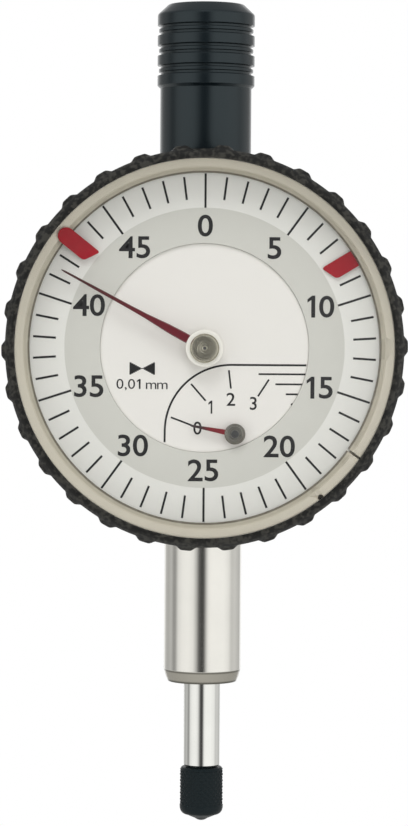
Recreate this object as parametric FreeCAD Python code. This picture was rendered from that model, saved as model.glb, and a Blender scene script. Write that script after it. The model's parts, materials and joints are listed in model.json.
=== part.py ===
# Plunger dial indicator: 40 mm bezel, 8 mm stem, 3 mm of travel, 0.01 mm to a division and 0.5 mm to a turn.
# +Z runs up the spindle, +X is to the right of the dial, and the dial faces -Y.
# The origin lies on the spindle's axis, halfway along the stem's clamping cylinder.
# Lengths are in millimetres.
import FreeCAD, Part
import math
import os

V = FreeCAD.Vector
ALONG_Y = V(0, 1, 0)
ALONG_Z = V(0, 0, 1)
ALONG_X = V(1, 0, 0)

# Stem and spindle
stemRadius = 4.0            # h6 clamping diameter of 8
stemLength = 14.8           # clamping cylinder
stemChamferLength = 1.0
stemChamferDepth = 0.44
stemBore = 2.4
stemShankRadius = 3.5       # pressed into the case
stemShankLength = 3.8
spindleRadius = 1.9
spindleOverhang = 9.0       # bare spindle below the stem
spindleAboveCase = 9.2      # covered by the cap
spindleTravel = 3.2
bushWall = 0.95
bushLength = 8.0
runningGap = 0.03           # radial, of every pivot and bush

# Dial position and depths, all measured along Y from the spindle's axis
caseRadius = 18.4
caseWall = 1.6
bossHeight = 0.4            # the flats for stem and neck stand this far proud of the case
bossRadius = 5.0
dialCentreZ = stemLength / 2 + caseRadius + bossHeight
caseFrontY = -8.0
webFrontY = -6.8
webThickness = 1.0
caseRearY = 5.6
coverThickness = 1.4
gasketThickness = 0.2

# Bezel
bezelWall = 0.65            # round the bore, at the root of the grip teeth
toothHeight = 0.4
toothCount = 30
toothWidth = 1.85
toothPhase = 5.0            # degrees clockwise from the top to the first tooth
bezelFrontY = -13.0
bezelRearY = -5.4
lipWidth = 0.3              # the lip in front of the crystal
lipDepth = 0.4
dialLedge = 0.7             # the step that the turning scale lies on
frontEdge = 0.45
knurlFrontY = -12.3
knurlRearY = -7.6
skirtWall = 0.85
skirtStep = 0.3
slidingGap = 0.05           # radial, of the rings that turn by hand

# What the bezel holds, front to back
crystalThickness = 0.75
crystalGasket = 0.1
fitGap = 0.02               # radial, round what is pressed or laid into the bezel
axialGap = 0.15             # between rings that turn on each other
coneDepth = 2.4
coneWidth = 1.25
coneRim = 0.15
ringSplit = 0.25
ringSplitAngle = 125.0      # degrees clockwise from the top
notchAngle = 141.7
notchRadius = 0.3
markerSheet = 0.2
markerWidth = 1.7
markerReach = 3.45          # how far the markers reach in from the cone's foot
markerSlant = 0.8
leftMarkerAngle = 308.75
leftMarkerInset = 0.3       # its outer end lies this far inside the lip
leftMarkerBend = 1.2        # the bend lies this far in from the cone's foot
leftMarkerRise = 1.85
leftMarkerHeel = 0.6
rightMarkerAngle = 58.75
rearRingInset = 0.3         # the rear ring hides this far under the cone
dialSheet = 0.4
scaleInner = 10.5
innerDialStep = 0.3         # the fixed middle of the dial lies this far below the turning scale
innerDialGap = 0.1
dialSeatRadius = 7.6        # raised ring of the case that carries the fixed middle
dialSeatWall = 0.9

# Protective cap and upper neck
capRadius = 4.69
capRibRadius = 5.0
capGrooveRadius = 4.74
capLength = 16.4
capBandLength = 1.25
capRibPitch = 2.1
capRibCount = 3
capRibFlank = 0.3
capRibLand = 1.0
capChamferRadius = 3.76
capChamferLength = 1.07
capRoof = 1.6
neckRadius = 3.6
neckHeight = 5.2
neckShankLength = 2.8
neckShankRadius = 3.1
capGap = 0.08
ringGrooveDepth = 0.5
ringGrooveWidth = 0.9

# Contact point
contactRadius = 2.25
contactLength = 4.1
contactShoulder = 0.8
contactNoseRadius = 1.7
contactThreadRadius = 1.2
contactThreadLength = 4.5
threadEndGap = 0.5
ballRadius = 1.05
ballOverhang = 0.7

# Gear train
rackPitch = 0.625
rackPinionTeeth = 16
rackModule = rackPitch / math.pi
rackPinionRadius = rackPinionTeeth * rackModule / 2
rackWidth = 2.0
arborX = 3.1                # small pointer's arbor, from the dial's centre
arborZ = -8.6
firstTeeth = 50
firstModule = 0.2
middlePinionTeeth = 10
middleTeeth = 56
middleModule = 0.18
centrePinionTeeth = 14
backlash = 0.03
wheelThickness = 0.4
hubWall = 0.35
wheelHub = 0.25             # how far a wheel's hub stands out in front of it
wheelRim = 0.5
wheelClearance = 0.6        # from the case's web to the rear wheels of the train
plateClearance = 1.0        # from the movement plate to the first wheel
arborRadius = 0.45
arborHoleGap = 0.4
pivotShoulder = 0.1         # end play
pivotRadius = 0.22
dialArborRadius = 0.4       # where an arbor passes the dial and carries a pointer
dialHoleGap = 0.25
jewelRadius = 0.9
jewelThickness = 0.6

# Movement plates
plateY = -3.1               # front face of the movement plate
plateThickness = 0.8
plateMargin = 1.5
platePosts = [(9.8, -9.0), (6.0, 6.0), (-9.0, 9.5), (-5.0, -9.0)]
postRadius = 1.1
screwRadius = 0.5
screwBite = 0.7             # how deep screws and posts go into the case's web
screwEndGap = 0.1
screwHeadRadius = 0.95
screwHeadHeight = 0.6
slotWidth = 0.25
cockPosts = [(7.2, -6.2), (7.0, -9.8)]
cockY = 2.3
cockThickness = 0.8
cockMargin = 1.3

# Spindle guide, stop and return spring
stopRadius = 2.8
stopThickness = 0.7
stopGap = 0.1
guidePinZ = 9.0             # from the dial's centre
guidePinRadius = 0.5
guidePinReach = 5.9
guidePinBury = 0.9
railInner = -2.4
railOuter = -4.4
railThickness = 0.85
railEnd = 0.9
springX = -5.4
springPostZ = -12.5
springPostRadius = 0.5
springCoilRadius = 0.75
springWire = 0.24
springTurns = 10
hookClearance = 0.06
hookGroove = 0.15
hairspringTurns = 5
hairspringOuter = 3.4
hairspringStrip = 0.08
hairspringHeight = 0.3
studRadius = 0.3

# Pointers
mainPointerLength = 16.0
mainPointerRoot = 1.0
mainPointerTip = 0.26
mainPointerAngle = 298.4    # degrees clockwise from the top, at rest
mainPointerY = -10.3
mainPointerSheet = 0.25
mainHubRadius = 1.45
mainHubDepth = 1.0
pointerBoss = 0.3
pointerSeat = 0.4           # how far the arbor reaches into the hub
smallPointerLength = 4.7
smallPointerRoot = 0.62
smallPointerTip = 0.2
smallPointerAngle = 280.5
smallPointerY = -9.4
smallPointerSheet = 0.2
smallHubRadius = 1.05
smallHubDepth = 0.7
pointerSheetInset = 0.2

# Cover screws and bezel wire
coverScrewInset = 1.5       # from the case's inner wall
coverScrewAngles = (60, 120, 240, 300)
coverBossRadius = 1.9
coverScrewRadius = 0.7
coverScrewLength = 4.0
coverScrewEndGap = 0.4
coverHeadRadius = 1.4
coverHeadDepth = 0.8
coverHeadGap = 0.1
coverSpigotDepth = 0.6
coverSpigotWall = 0.8
coverEdge = 0.4
wireSection = 0.5
wireY = -7.0
wireGroove = 0.35
wireOpening = 20.0          # degrees left open

beyond = 1.0                # how far a cutting tool runs past the piece that it cuts

# Places that follow from the sizes above
webRearY = webFrontY + webThickness
plateRearY = plateY + plateThickness
stemTopZ = stemLength / 2
stemEndZ = -stemLength / 2 - stemChamferLength
shankTopZ = stemTopZ + stemShankLength
spindleEndZ = stemEndZ - spindleOverhang
neckSeatZ = dialCentreZ + caseRadius + bossHeight
neckEndZ = neckSeatZ - neckShankLength
spindleTopZ = neckSeatZ + spindleAboveCase
skirtBore = caseRadius + slidingGap
skirtRadius = skirtBore + skirtWall
seatRadius = skirtBore + dialLedge
lipRadius = seatRadius - lipWidth
bezelRoot = seatRadius + bezelWall
coneInnerRadius = lipRadius - coneWidth
markerInner = coneInnerRadius - markerReach
leftMarkerOuter = lipRadius - leftMarkerInset
markerBendRadius = coneInnerRadius - leftMarkerBend
rearRingInner = coneInnerRadius + rearRingInset
coverScrewRing = caseRadius - caseWall - coverScrewInset
coverHeadY = caseRearY + gasketThickness + coverThickness - coverHeadDepth
crystalFrontY = bezelFrontY + lipDepth + crystalGasket
crystalRearY = crystalFrontY + crystalThickness
frontRingY = crystalRearY + axialGap
coneRearY = frontRingY + coneDepth
rearRingY = coneRearY + slidingGap
dialFrontY = rearRingY + markerSheet + axialGap
dialRearY = dialFrontY + dialSheet
innerDialY = dialFrontY + innerDialStep
ringOuterRadius = seatRadius - slidingGap
firstRadius = firstTeeth * firstModule / 2
firstDistance = (firstTeeth + middlePinionTeeth) * firstModule / 2
secondDistance = (middleTeeth + centrePinionTeeth) * middleModule / 2


def crossing(a, radiusA, b, radiusB):
    """The right-hand crossing of two circles in the dial's plane."""
    dx, dz = b[0] - a[0], b[1] - a[1]
    apart = math.hypot(dx, dz)
    along = (radiusA ** 2 - radiusB ** 2 + apart ** 2) / (2 * apart)
    across = math.sqrt(radiusA ** 2 - along ** 2)
    ux, uz = dx / apart, dz / apart
    return (a[0] + ux * along - uz * across, a[1] + uz * along + ux * across)


centre = (0.0, 0.0)
rackArbor = (arborX, arborZ)
middleArbor = crossing(centre, secondDistance, rackArbor, firstDistance)
takeUpArbor = (-middleArbor[0], -middleArbor[1])
firstWheelY = plateY - plateClearance - wheelThickness / 2
secondWheelY = webRearY + wheelClearance + wheelThickness / 2
hairspringY = firstWheelY


# Shapes shared by many pieces. A place on the dial is (x, z) from the dial's centre.
def at(place, y):
    return V(place[0], y, dialCentreZ + place[1])


def polar(radius, clockwise):
    angle = math.radians(clockwise)
    return (radius * math.sin(angle), radius * math.cos(angle))


def disc(place, radius, y0, y1):
    return Part.makeCylinder(radius, y1 - y0, at(place, y0), ALONG_Y)


def ring(place, outer, inner, y0, y1):
    return disc(place, outer, y0, y1).cut(disc(place, inner, y0 - beyond, y1 + beyond))


def upright(radius, z0, z1):
    return Part.makeCylinder(radius, z1 - z0, V(0, 0, z0), ALONG_Z)


def tube(outer, inner, z0, z1):
    return upright(outer, z0, z1).cut(upright(inner, z0 - beyond, z1 + beyond))


def face(points):
    return Part.Face(Part.makePolygon(points + points[:1]))


def turned(place, profile, sweep=360.0):
    """A turned part about an axis along Y, from (radius, y) points."""
    outline = face([V(place[0] + r, y, dialCentreZ + place[1]) for r, y in profile])
    return outline.revolve(at(place, 0), ALONG_Y, sweep)


def turnedUpright(profile):
    """A turned part about the spindle's axis, from (radius, z) points."""
    return face([V(r, 0, z) for r, z in profile]).revolve(V(0, 0, 0), ALONG_Z, 360)


def block(x0, x1, y0, y1, z0, z1):
    return Part.makeBox(x1 - x0, y1 - y0, z1 - z0, V(x0, y0, z0))


def turnedTo(shape, clockwise, place=centre):
    """Turns a piece drawn pointing up the dial until it points clockwise by that angle."""
    shape.rotate(at(place, 0), ALONG_Y, clockwise)
    return shape


def slottedScrew(place, headY, shankLength, radius=screwRadius, head=screwHeadRadius):
    """A cheese-head screw put in from behind, with its head from headY outwards."""
    body = disc(place, head, headY, headY + screwHeadHeight)
    body = body.fuse(disc(place, radius, headY - shankLength, headY))
    slotFloor = headY + screwHeadHeight * 0.5
    x, z = place
    slot = block(x - head, x + head, slotFloor, headY + screwHeadHeight + beyond,
                 dialCentreZ + z - slotWidth / 2, dialCentreZ + z + slotWidth / 2)
    return body.cut(slot)


# Gears
def involute(baseRadius, radius):
    if radius <= baseRadius:
        return 0.0
    pressure = math.acos(baseRadius / radius)
    return math.tan(pressure) - pressure


def gear(place, teeth, module, y0, y1, toothAt):
    """A spur gear with involute flanks. toothAt is the angle, from +X to +Z, that one tooth points at."""
    pitchRadius = teeth * module / 2
    baseRadius = pitchRadius * math.cos(math.radians(20))
    tip = pitchRadius + module
    root = pitchRadius - 1.25 * module
    halfTooth = math.pi / (2 * teeth) - backlash / (2 * pitchRadius)
    flank = []
    for radius in (root, pitchRadius, tip):
        offset = halfTooth + involute(baseRadius, pitchRadius) - involute(baseRadius, radius)
        flank.append((radius, offset))
    points = []
    for k in range(teeth):
        middle = math.radians(toothAt) + 2 * math.pi * k / teeth
        outline = [(r, middle - a) for r, a in flank] + [(r, middle + a) for r, a in reversed(flank)]
        points += [at((place[0] + r * math.cos(a), place[1] + r * math.sin(a)), y0) for r, a in outline]
    return face(points).extrude(ALONG_Y * (y1 - y0))


def bearing(a, b):
    """The angle from a to b, in degrees from +X towards +Z."""
    return math.degrees(math.atan2(b[1] - a[1], b[0] - a[0]))


def meshed(driver, driverTeeth, driverTooth, place, teeth):
    """Where a tooth of the gear at place points, so that it meshes with the driver."""
    line = bearing(driver, place)
    pitch = 360.0 / driverTeeth
    ahead = ((driverTooth - line) % pitch) / pitch
    return line + 180 + (0.5 - ahead) * 360.0 / teeth


def spoked(wheel, place, radius, module, y0, y1, hub):
    """Cuts four round windows in a wheel's web, between its hub and its rim."""
    rim = radius - 1.25 * module - wheelRim
    window = (rim - hub) / 2
    for k in range(4):
        x, z = polar(hub + window, 45 + 90 * k)
        wheel = wheel.cut(disc((place[0] + x, place[1] + z), window * 0.92, y0 - beyond, y1 + beyond))
    return wheel


# Case
def coverScrewPlaces():
    return [polar(coverScrewRing, angle) for angle in coverScrewAngles]


def frontJewelPlaces():
    return [rackArbor, middleArbor, centre, takeUpArbor]


def caseShell():
    inner = caseRadius - caseWall
    seatInner = dialSeatRadius - dialSeatWall
    seatY = innerDialY + dialSheet
    shell = turned(centre, [(0, webFrontY), (seatInner, webFrontY), (seatInner, seatY),
                            (dialSeatRadius, seatY), (dialSeatRadius, webFrontY), (inner, webFrontY),
                            (inner, caseFrontY),
                            (caseRadius, caseFrontY), (caseRadius, caseRearY), (inner, caseRearY),
                            (inner, webRearY), (0, webRearY)])
    cup = disc(centre, inner, caseFrontY - beyond, caseRearY + beyond)
    for z0, z1 in ((dialCentreZ - caseRadius - bossHeight, dialCentreZ),
                   (dialCentreZ, dialCentreZ + caseRadius + bossHeight)):
        shell = shell.fuse(upright(bossRadius, z0, z1).cut(cup))
    for place in coverScrewPlaces():
        boss = disc(place, coverBossRadius, webRearY, caseRearY)
        shell = shell.fuse(boss.common(disc(centre, caseRadius - caseWall / 2, webRearY, caseRearY)))
        shell = shell.cut(disc(place, coverScrewRadius, caseRearY - coverScrewLength, caseRearY + beyond))
    shell = shell.cut(upright(stemShankRadius, stemTopZ - beyond, shankTopZ + beyond))
    shell = shell.cut(upright(neckShankRadius, neckEndZ - beyond, neckSeatZ + beyond))
    for place in frontJewelPlaces():
        shell = shell.cut(disc(place, jewelRadius, webRearY - jewelThickness, webRearY + beyond))
    for place in (rackArbor, centre):
        shell = shell.cut(disc(place, dialArborRadius + dialHoleGap, webFrontY - beyond, webRearY))
    for place in platePosts:
        shell = shell.cut(disc(place, screwRadius, webRearY - screwBite, webRearY))
    shell = shell.cut(disc((springX, springPostZ), springPostRadius, webRearY - screwBite,
                           webRearY + beyond))
    grooveY = wireSection / 2 + slidingGap
    shell = shell.cut(ring(centre, caseRadius + beyond, caseRadius - wireGroove,
                           wireY - grooveY, wireY + grooveY))
    return shell.removeSplitter()


def rearCover():
    y0 = caseRearY + gasketThickness
    spigot = caseRadius - caseWall - coverHeadGap
    edge = coverEdge
    cover = turned(centre, [(0, y0), (caseRadius, y0), (caseRadius, y0 + coverThickness - edge),
                            (caseRadius - edge, y0 + coverThickness), (0, y0 + coverThickness)])
    rib = ring(centre, spigot, spigot - coverSpigotWall, caseRearY - coverSpigotDepth, y0)
    for place in coverScrewPlaces():
        rib = rib.cut(disc(place, coverBossRadius + coverHeadGap, caseRearY - coverSpigotDepth - beyond, y0))
        cover = cover.cut(disc(place, coverScrewRadius + coverHeadGap, y0 - beyond, coverHeadY + beyond))
        cover = cover.cut(disc(place, coverHeadRadius + coverHeadGap, coverHeadY,
                               y0 + coverThickness + beyond))
    return cover.fuse(rib)


def rearCoverGasket():
    inner = caseRadius - caseWall + slidingGap
    seal = ring(centre, caseRadius - coverHeadGap, inner, caseRearY, caseRearY + gasketThickness)
    for place in coverScrewPlaces():
        seal = seal.cut(disc(place, coverScrewRadius, caseRearY - beyond, caseRearY + beyond))
    return seal


def rearCoverScrews():
    screws = []
    for place in coverScrewPlaces():
        screws.append(slottedScrew(place, coverHeadY, coverScrewLength - coverScrewEndGap, coverScrewRadius,
                                   coverHeadRadius))
    return Part.makeCompound(screws)


def stem():
    lowRadius = stemRadius - stemChamferDepth
    bushRadius = spindleRadius + runningGap + bushWall
    body = turnedUpright([(stemBore, shankTopZ), (stemShankRadius, shankTopZ), (stemShankRadius, stemTopZ),
                          (stemRadius, stemTopZ), (stemRadius, -stemLength / 2), (lowRadius, stemEndZ),
                          (stemBore, stemEndZ)])
    return body.cut(upright(bushRadius, stemEndZ - beyond, stemEndZ + bushLength))


def lowerBush():
    bushRadius = spindleRadius + runningGap + bushWall
    return tube(bushRadius, spindleRadius + runningGap, stemEndZ, stemEndZ + bushLength)


def upperNeck():
    bushRadius = spindleRadius + runningGap + bushWall
    grooveZ = neckSeatZ + neckHeight / 2
    neck = tube(neckRadius, bushRadius, neckSeatZ, neckSeatZ + neckHeight)
    neck = neck.fuse(tube(neckShankRadius, bushRadius, neckEndZ, neckSeatZ))
    neck = neck.cut(tube(neckRadius + beyond, neckRadius - ringGrooveDepth, grooveZ - ringGrooveWidth / 2,
                         grooveZ + ringGrooveWidth / 2))
    return neck.removeSplitter()


def upperBush():
    bushRadius = spindleRadius + runningGap + bushWall
    return tube(bushRadius, spindleRadius + runningGap, neckEndZ, neckSeatZ + neckHeight)


def capRing():
    """Spring ring in the neck's groove, which the cap snaps over."""
    outer = neckRadius + capGap - runningGap
    inner = neckRadius - ringGrooveDepth
    half = ringGrooveWidth / 2 - slidingGap
    edge = 0.15
    z = neckSeatZ + neckHeight / 2
    return turnedUpright([(inner, z - half), (outer - edge, z - half), (outer, z - half + edge),
                          (outer, z + half - edge), (outer - edge, z + half), (inner, z + half)])


# Movement
def roundedPlate(corners, margin, y0, y1):
    """A flat plate round a list of places, with every corner rounded to the margin."""
    plate = face([at(c, y0) for c in corners]).extrude(ALONG_Y * (y1 - y0))
    for k, corner in enumerate(corners):
        following = corners[(k + 1) % len(corners)]
        length = math.hypot(following[0] - corner[0], following[1] - corner[1])
        side = Part.makeBox(length, y1 - y0, 2 * margin, V(corner[0], y0, dialCentreZ + corner[1] - margin))
        side.rotate(at(corner, y0), ALONG_Y, -bearing(corner, following))
        plate = plate.fuse(side).fuse(disc(corner, margin, y0, y1))
    return plate.removeSplitter()


def movementPlate():
    plate = roundedPlate(platePosts, plateMargin, plateY, plateRearY)
    for place in (middleArbor, centre, takeUpArbor):
        plate = plate.cut(disc(place, jewelRadius, plateY - beyond, plateRearY + beyond))
    plate = plate.cut(disc(rackArbor, arborRadius + arborHoleGap, plateY - beyond, plateRearY + beyond))
    for place in platePosts + cockPosts:
        plate = plate.cut(disc(place, screwRadius, plateY - beyond, plateRearY + beyond))
    return plate


def postsBetween(places, y0, y1):
    return Part.makeCompound([ring(p, postRadius, screwRadius, y0, y1) for p in places])


def plateScrews():
    reach = plateRearY - webRearY + screwBite - screwEndGap
    return Part.makeCompound([slottedScrew(p, plateRearY, reach) for p in platePosts])


def rearCock():
    cock = roundedPlate([rackArbor] + cockPosts[::-1], cockMargin, cockY, cockY + cockThickness)
    for place in cockPosts:
        cock = cock.cut(disc(place, screwRadius, cockY - beyond, cockY + cockThickness + beyond))
    return cock.cut(disc(rackArbor, jewelRadius, cockY - beyond, cockY + cockThickness + beyond))


def cockScrews():
    reach = cockY + cockThickness - plateY - screwEndGap
    return Part.makeCompound([slottedScrew(p, cockY + cockThickness, reach) for p in cockPosts])


def frontJewels():
    jewels = []
    for place in frontJewelPlaces():
        pivot = dialArborRadius if place in (rackArbor, centre) else pivotRadius
        jewels.append(ring(place, jewelRadius, pivot + runningGap, webRearY - jewelThickness, webRearY))
    return Part.makeCompound(jewels)


def plateJewels():
    places = (middleArbor, centre, takeUpArbor)
    hole = pivotRadius + runningGap
    return Part.makeCompound([ring(p, jewelRadius, hole, plateY, plateRearY) for p in places])


def cockJewel():
    return ring(rackArbor, jewelRadius, pivotRadius + runningGap, cockY, cockY + cockThickness)


def guideRail():
    slotLow = dialCentreZ + guidePinZ - guidePinRadius - stopGap
    slotHigh = dialCentreZ + guidePinZ + spindleTravel + guidePinRadius + stopGap
    slotHalf = guidePinRadius + runningGap
    rail = block(railOuter, railInner, plateRearY, slotHalf + railThickness,
                 slotLow - railEnd, slotHigh + railEnd)
    return rail.cut(block(railOuter - beyond, railInner + beyond, -slotHalf, slotHalf, slotLow, slotHigh))


def springPost():
    place = (springX, springPostZ)
    head = disc(place, springPostRadius, webRearY - screwBite, springCoilRadius)
    groove = springWire / 2 + hookClearance
    return head.cut(ring(place, springPostRadius + beyond, springPostRadius - hookGroove, -groove, groove))


def returnSpring():
    """Helical tension spring with a flat eye at each end."""
    low = dialCentreZ + springPostZ
    high = dialCentreZ + guidePinZ
    eyeOuter = springPostRadius + hookClearance + springWire
    coilLow = low + eyeOuter + springWire
    coilHigh = high - eyeOuter - springWire
    pitch = (coilHigh - coilLow) / springTurns
    helix = Part.makeHelix(pitch, coilHigh - coilLow, springCoilRadius)
    half = springWire / 2
    section = Part.makePolygon([V(springCoilRadius + a * half, 0, b * half)
                                for a, b in ((-1, -1), (1, -1), (1, 1), (-1, 1), (-1, -1))])
    coil = Part.Wire(helix.Edges).makePipeShell([section], True, True)
    coil.translate(V(springX, 0, coilLow))
    eyes = []
    for z, axis, inward in ((low, ALONG_Y, 1), (high, ALONG_X, -1)):
        hole = (springPostRadius if axis == ALONG_Y else guidePinRadius) + hookClearance
        start = V(springX, 0, z) - axis * half
        eye = Part.makeCylinder(hole + springWire, springWire, start, axis)
        eye = eye.cut(Part.makeCylinder(hole, springWire * 3, start - axis * springWire, axis))
        eyes.append(eye)
        legLow, legHigh = sorted((z + inward * (hole + half), z + inward * (eyeOuter + springWire + half)))
        eyes.append(block(springX - half, springX + half, -half, half, legLow, legHigh))
        z0 = z + inward * (eyeOuter + springWire)
        eyes.append(block(springX - half,
                          springX + springCoilRadius + half, -half, half, z0 - half, z0 + half))
    spring = coil
    for piece in eyes:
        spring = spring.fuse(piece)
    return spring


def hairspring():
    """Flat spiral of an even pitch, from the collet to the stud, drawn as half circles about two centres."""
    inner = arborRadius + hubWall + runningGap
    halves = 2 * hairspringTurns
    step = (hairspringOuter - inner) / halves
    edges = []
    ends = []
    for side in (0, hairspringStrip):
        z = takeUpArbor[1] + inner + side
        way = 1
        for k in range(halves):
            radius = inner + side + step * (k + 0.5)
            tip = z - way * 2 * radius
            points = [(0, z), (way * radius, z - way * radius), (0, tip)]
            edges.append(Part.Arc(*[at((takeUpArbor[0] + x, h), hairspringY - hairspringHeight / 2)
                                    for x, h in points]).toShape())
            z = tip
            way = -way
        ends.append(z)
    low = hairspringY - hairspringHeight / 2
    start = takeUpArbor[1] + inner
    for z0, z1 in ((start, start + hairspringStrip), ends):
        edges.append(Part.makeLine(at((takeUpArbor[0], z0), low), at((takeUpArbor[0], z1), low)))
    return Part.Face(Part.Wire(Part.__sortEdges__(edges))).extrude(ALONG_Y * hairspringHeight)


def hairspringStud():
    place = (takeUpArbor[0], takeUpArbor[1] + hairspringOuter + hairspringStrip + runningGap + studRadius)
    return disc(place, studRadius, hairspringY - hairspringHeight, plateY)


def bezelWire():
    half = wireSection / 2
    middle = caseRadius + slidingGap / 2
    profile = [(middle - half, wireY - half), (middle + half, wireY - half),
               (middle + half, wireY + half), (middle - half, wireY + half)]
    return turnedTo(turned(centre, profile, 360 - wireOpening), wireOpening / 2)


def innerDial():
    plate = disc(centre, scaleInner - innerDialGap, innerDialY, innerDialY + dialSheet)
    for place in (centre, rackArbor):
        plate = plate.cut(disc(place, dialArborRadius + dialHoleGap,
                               innerDialY - beyond, innerDialY + beyond))
    return plate


# Spindle group
def rackTeeth():
    """What is cut from the spindle's right side to leave the rack."""
    pitchX = arborX - rackPinionRadius
    tipX = pitchX + rackModule
    rootX = pitchX - 1.25 * rackModule
    middleZ = dialCentreZ + arborZ
    below = math.ceil((spindleTravel + 2 * rackPitch) / rackPitch)
    above = 3
    slope = math.tan(math.radians(20))
    half = rackPitch / 4 - backlash / 2
    low = middleZ - (below + 0.5) * rackPitch
    high = middleZ + (above + 0.5) * rackPitch
    profile = [(spindleRadius + beyond, low), (rootX, low)]
    for k in range(-below, above + 1):
        z = middleZ + k * rackPitch
        rootHalf = half + (pitchX - rootX) * slope
        tipHalf = half - (tipX - pitchX) * slope
        profile += [(rootX, z - rootHalf), (tipX, z - tipHalf), (tipX, z + tipHalf), (rootX, z + rootHalf)]
    profile += [(rootX, high), (spindleRadius + beyond, high)]
    cutter = face([V(x, -spindleRadius - beyond, z) for x, z in profile])
    return cutter.extrude(ALONG_Y * (2 * (spindleRadius + beyond)))


def spindle():
    edge = 0.3
    body = turnedUpright([(0, spindleEndZ), (spindleRadius - edge, spindleEndZ),
                          (spindleRadius, spindleEndZ + edge),
                          (spindleRadius, spindleTopZ - edge), (spindleRadius - edge, spindleTopZ),
                          (0, spindleTopZ)])
    body = body.cut(rackTeeth())
    body = body.cut(upright(contactThreadRadius, spindleEndZ - beyond,
                            spindleEndZ + contactThreadLength + threadEndGap))
    return body.cut(guidePinBar(spindleRadius))


def guidePinBar(reach):
    return Part.makeCylinder(guidePinRadius, reach + guidePinBury,
                             V(guidePinBury, 0, dialCentreZ + guidePinZ), V(-1, 0, 0))


def guidePin():
    pin = guidePinBar(guidePinReach)
    half = springWire / 2 + hookClearance
    z = dialCentreZ + guidePinZ
    groove = Part.makeCylinder(guidePinRadius + beyond, 2 * half, V(springX - half, 0, z), ALONG_X)
    core = Part.makeCylinder(guidePinRadius - hookGroove, 2 * half, V(springX - half, 0, z), ALONG_X)
    return pin.cut(groove.cut(core))


def stopCollar():
    low = shankTopZ + runningGap
    return tube(stopRadius, spindleRadius, low, low + stopThickness)


def contactPoint():
    top = spindleEndZ
    straight = top - contactLength
    nose = straight - contactShoulder
    edge = 0.2
    points = [V(0, 0, top), V(contactRadius - edge, 0, top), V(contactRadius, 0, top - edge),
              V(contactRadius, 0, straight)]
    turn = math.radians(45)
    middle = V(contactNoseRadius + (contactRadius - contactNoseRadius) * math.cos(turn), 0,
               straight - contactShoulder * math.sin(turn))
    rounding = Part.Arc(points[-1], middle, V(contactNoseRadius, 0, nose)).toShape()
    lower = Part.makePolygon([V(contactNoseRadius, 0, nose), V(0, 0, nose), V(0, 0, top)])
    outline = Part.Wire(Part.makePolygon(points).Edges + [rounding] + lower.Edges)
    body = Part.Face(outline).revolve(V(0, 0, 0), ALONG_Z, 360)
    body = body.fuse(upright(contactThreadRadius, top, top + contactThreadLength))
    return body.cut(contactBall())


def contactBall():
    nose = spindleEndZ - contactLength - contactShoulder
    return Part.makeSphere(ballRadius, V(0, 0, nose - ballOverhang + ballRadius))


# Arbors, wheels and pointers
def wheel(place, teeth, module, middleY, toothAt, hole):
    y0, y1 = middleY - wheelThickness / 2, middleY + wheelThickness / 2
    body = gear(place, teeth, module, y0, y1, toothAt)
    body = spoked(body, place, teeth * module / 2, module, y0, y1, hole + 2 * hubWall)
    body = body.fuse(disc(place, hole + hubWall, y0 - wheelHub, y1))
    return body.cut(disc(place, hole, y0 - beyond, y1 + beyond))


def rackPinion():
    y0, y1 = -rackWidth / 2, rackWidth / 2
    toothAt = meshed((0, arborZ), 1, 0, rackArbor, rackPinionTeeth)
    body = gear(rackArbor, rackPinionTeeth, rackModule, y0, y1, toothAt)
    body = body.fuse(disc(rackArbor, arborRadius, y1, cockY - pivotShoulder))
    body = body.fuse(disc(rackArbor, pivotRadius, cockY - pivotShoulder,
                          cockY + cockThickness - pivotShoulder))
    body = body.fuse(disc(rackArbor, arborRadius, webRearY + pivotShoulder, y0))
    return body.fuse(disc(rackArbor, dialArborRadius, smallPointerY - smallHubDepth / 2,
                          webRearY + pivotShoulder))


def firstWheel():
    toothAt = bearing(rackArbor, middleArbor)
    return wheel(rackArbor, firstTeeth, firstModule, firstWheelY, toothAt, arborRadius)


def arborBetweenPlates(place, radius):
    body = disc(place, radius, webRearY + pivotShoulder, plateY - pivotShoulder)
    front = disc(place, pivotRadius, webRearY - jewelThickness + pivotShoulder, webRearY + pivotShoulder)
    rear = disc(place, pivotRadius, plateY - pivotShoulder, plateRearY - pivotShoulder)
    return body.fuse(front).fuse(rear)


def middlePinion():
    toothAt = meshed(rackArbor, firstTeeth, bearing(rackArbor, middleArbor), middleArbor, middlePinionTeeth)
    y0, y1 = firstWheelY - wheelThickness, firstWheelY + wheelThickness
    pinion = gear(middleArbor, middlePinionTeeth, firstModule, y0, y1, toothAt)
    return arborBetweenPlates(middleArbor, arborRadius).fuse(pinion)


def centreTooth():
    return bearing(centre, middleArbor)


def middleWheel():
    toothAt = meshed(centre, centrePinionTeeth, centreTooth(), middleArbor, middleTeeth)
    return wheel(middleArbor, middleTeeth, middleModule, secondWheelY, toothAt, arborRadius)


def centrePinion():
    y0, y1 = secondWheelY - wheelThickness, secondWheelY + wheelThickness
    body = gear(centre, centrePinionTeeth, middleModule, y0, y1, centreTooth())
    body = body.fuse(disc(centre, arborRadius, webRearY + pivotShoulder, plateY - pivotShoulder))
    body = body.fuse(disc(centre, pivotRadius, plateY - pivotShoulder, plateRearY - pivotShoulder))
    return body.fuse(disc(centre, dialArborRadius, mainPointerY - pointerSeat, webRearY + pivotShoulder))


def takeUpWheel():
    toothAt = meshed(centre, centrePinionTeeth, centreTooth(), takeUpArbor, middleTeeth)
    return wheel(takeUpArbor, middleTeeth, middleModule, secondWheelY, toothAt, arborRadius)


def hairspringCollet():
    y0, y1 = hairspringY - hairspringHeight, hairspringY + hairspringHeight
    return ring(takeUpArbor, arborRadius + hubWall, arborRadius, y0, y1)


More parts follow.
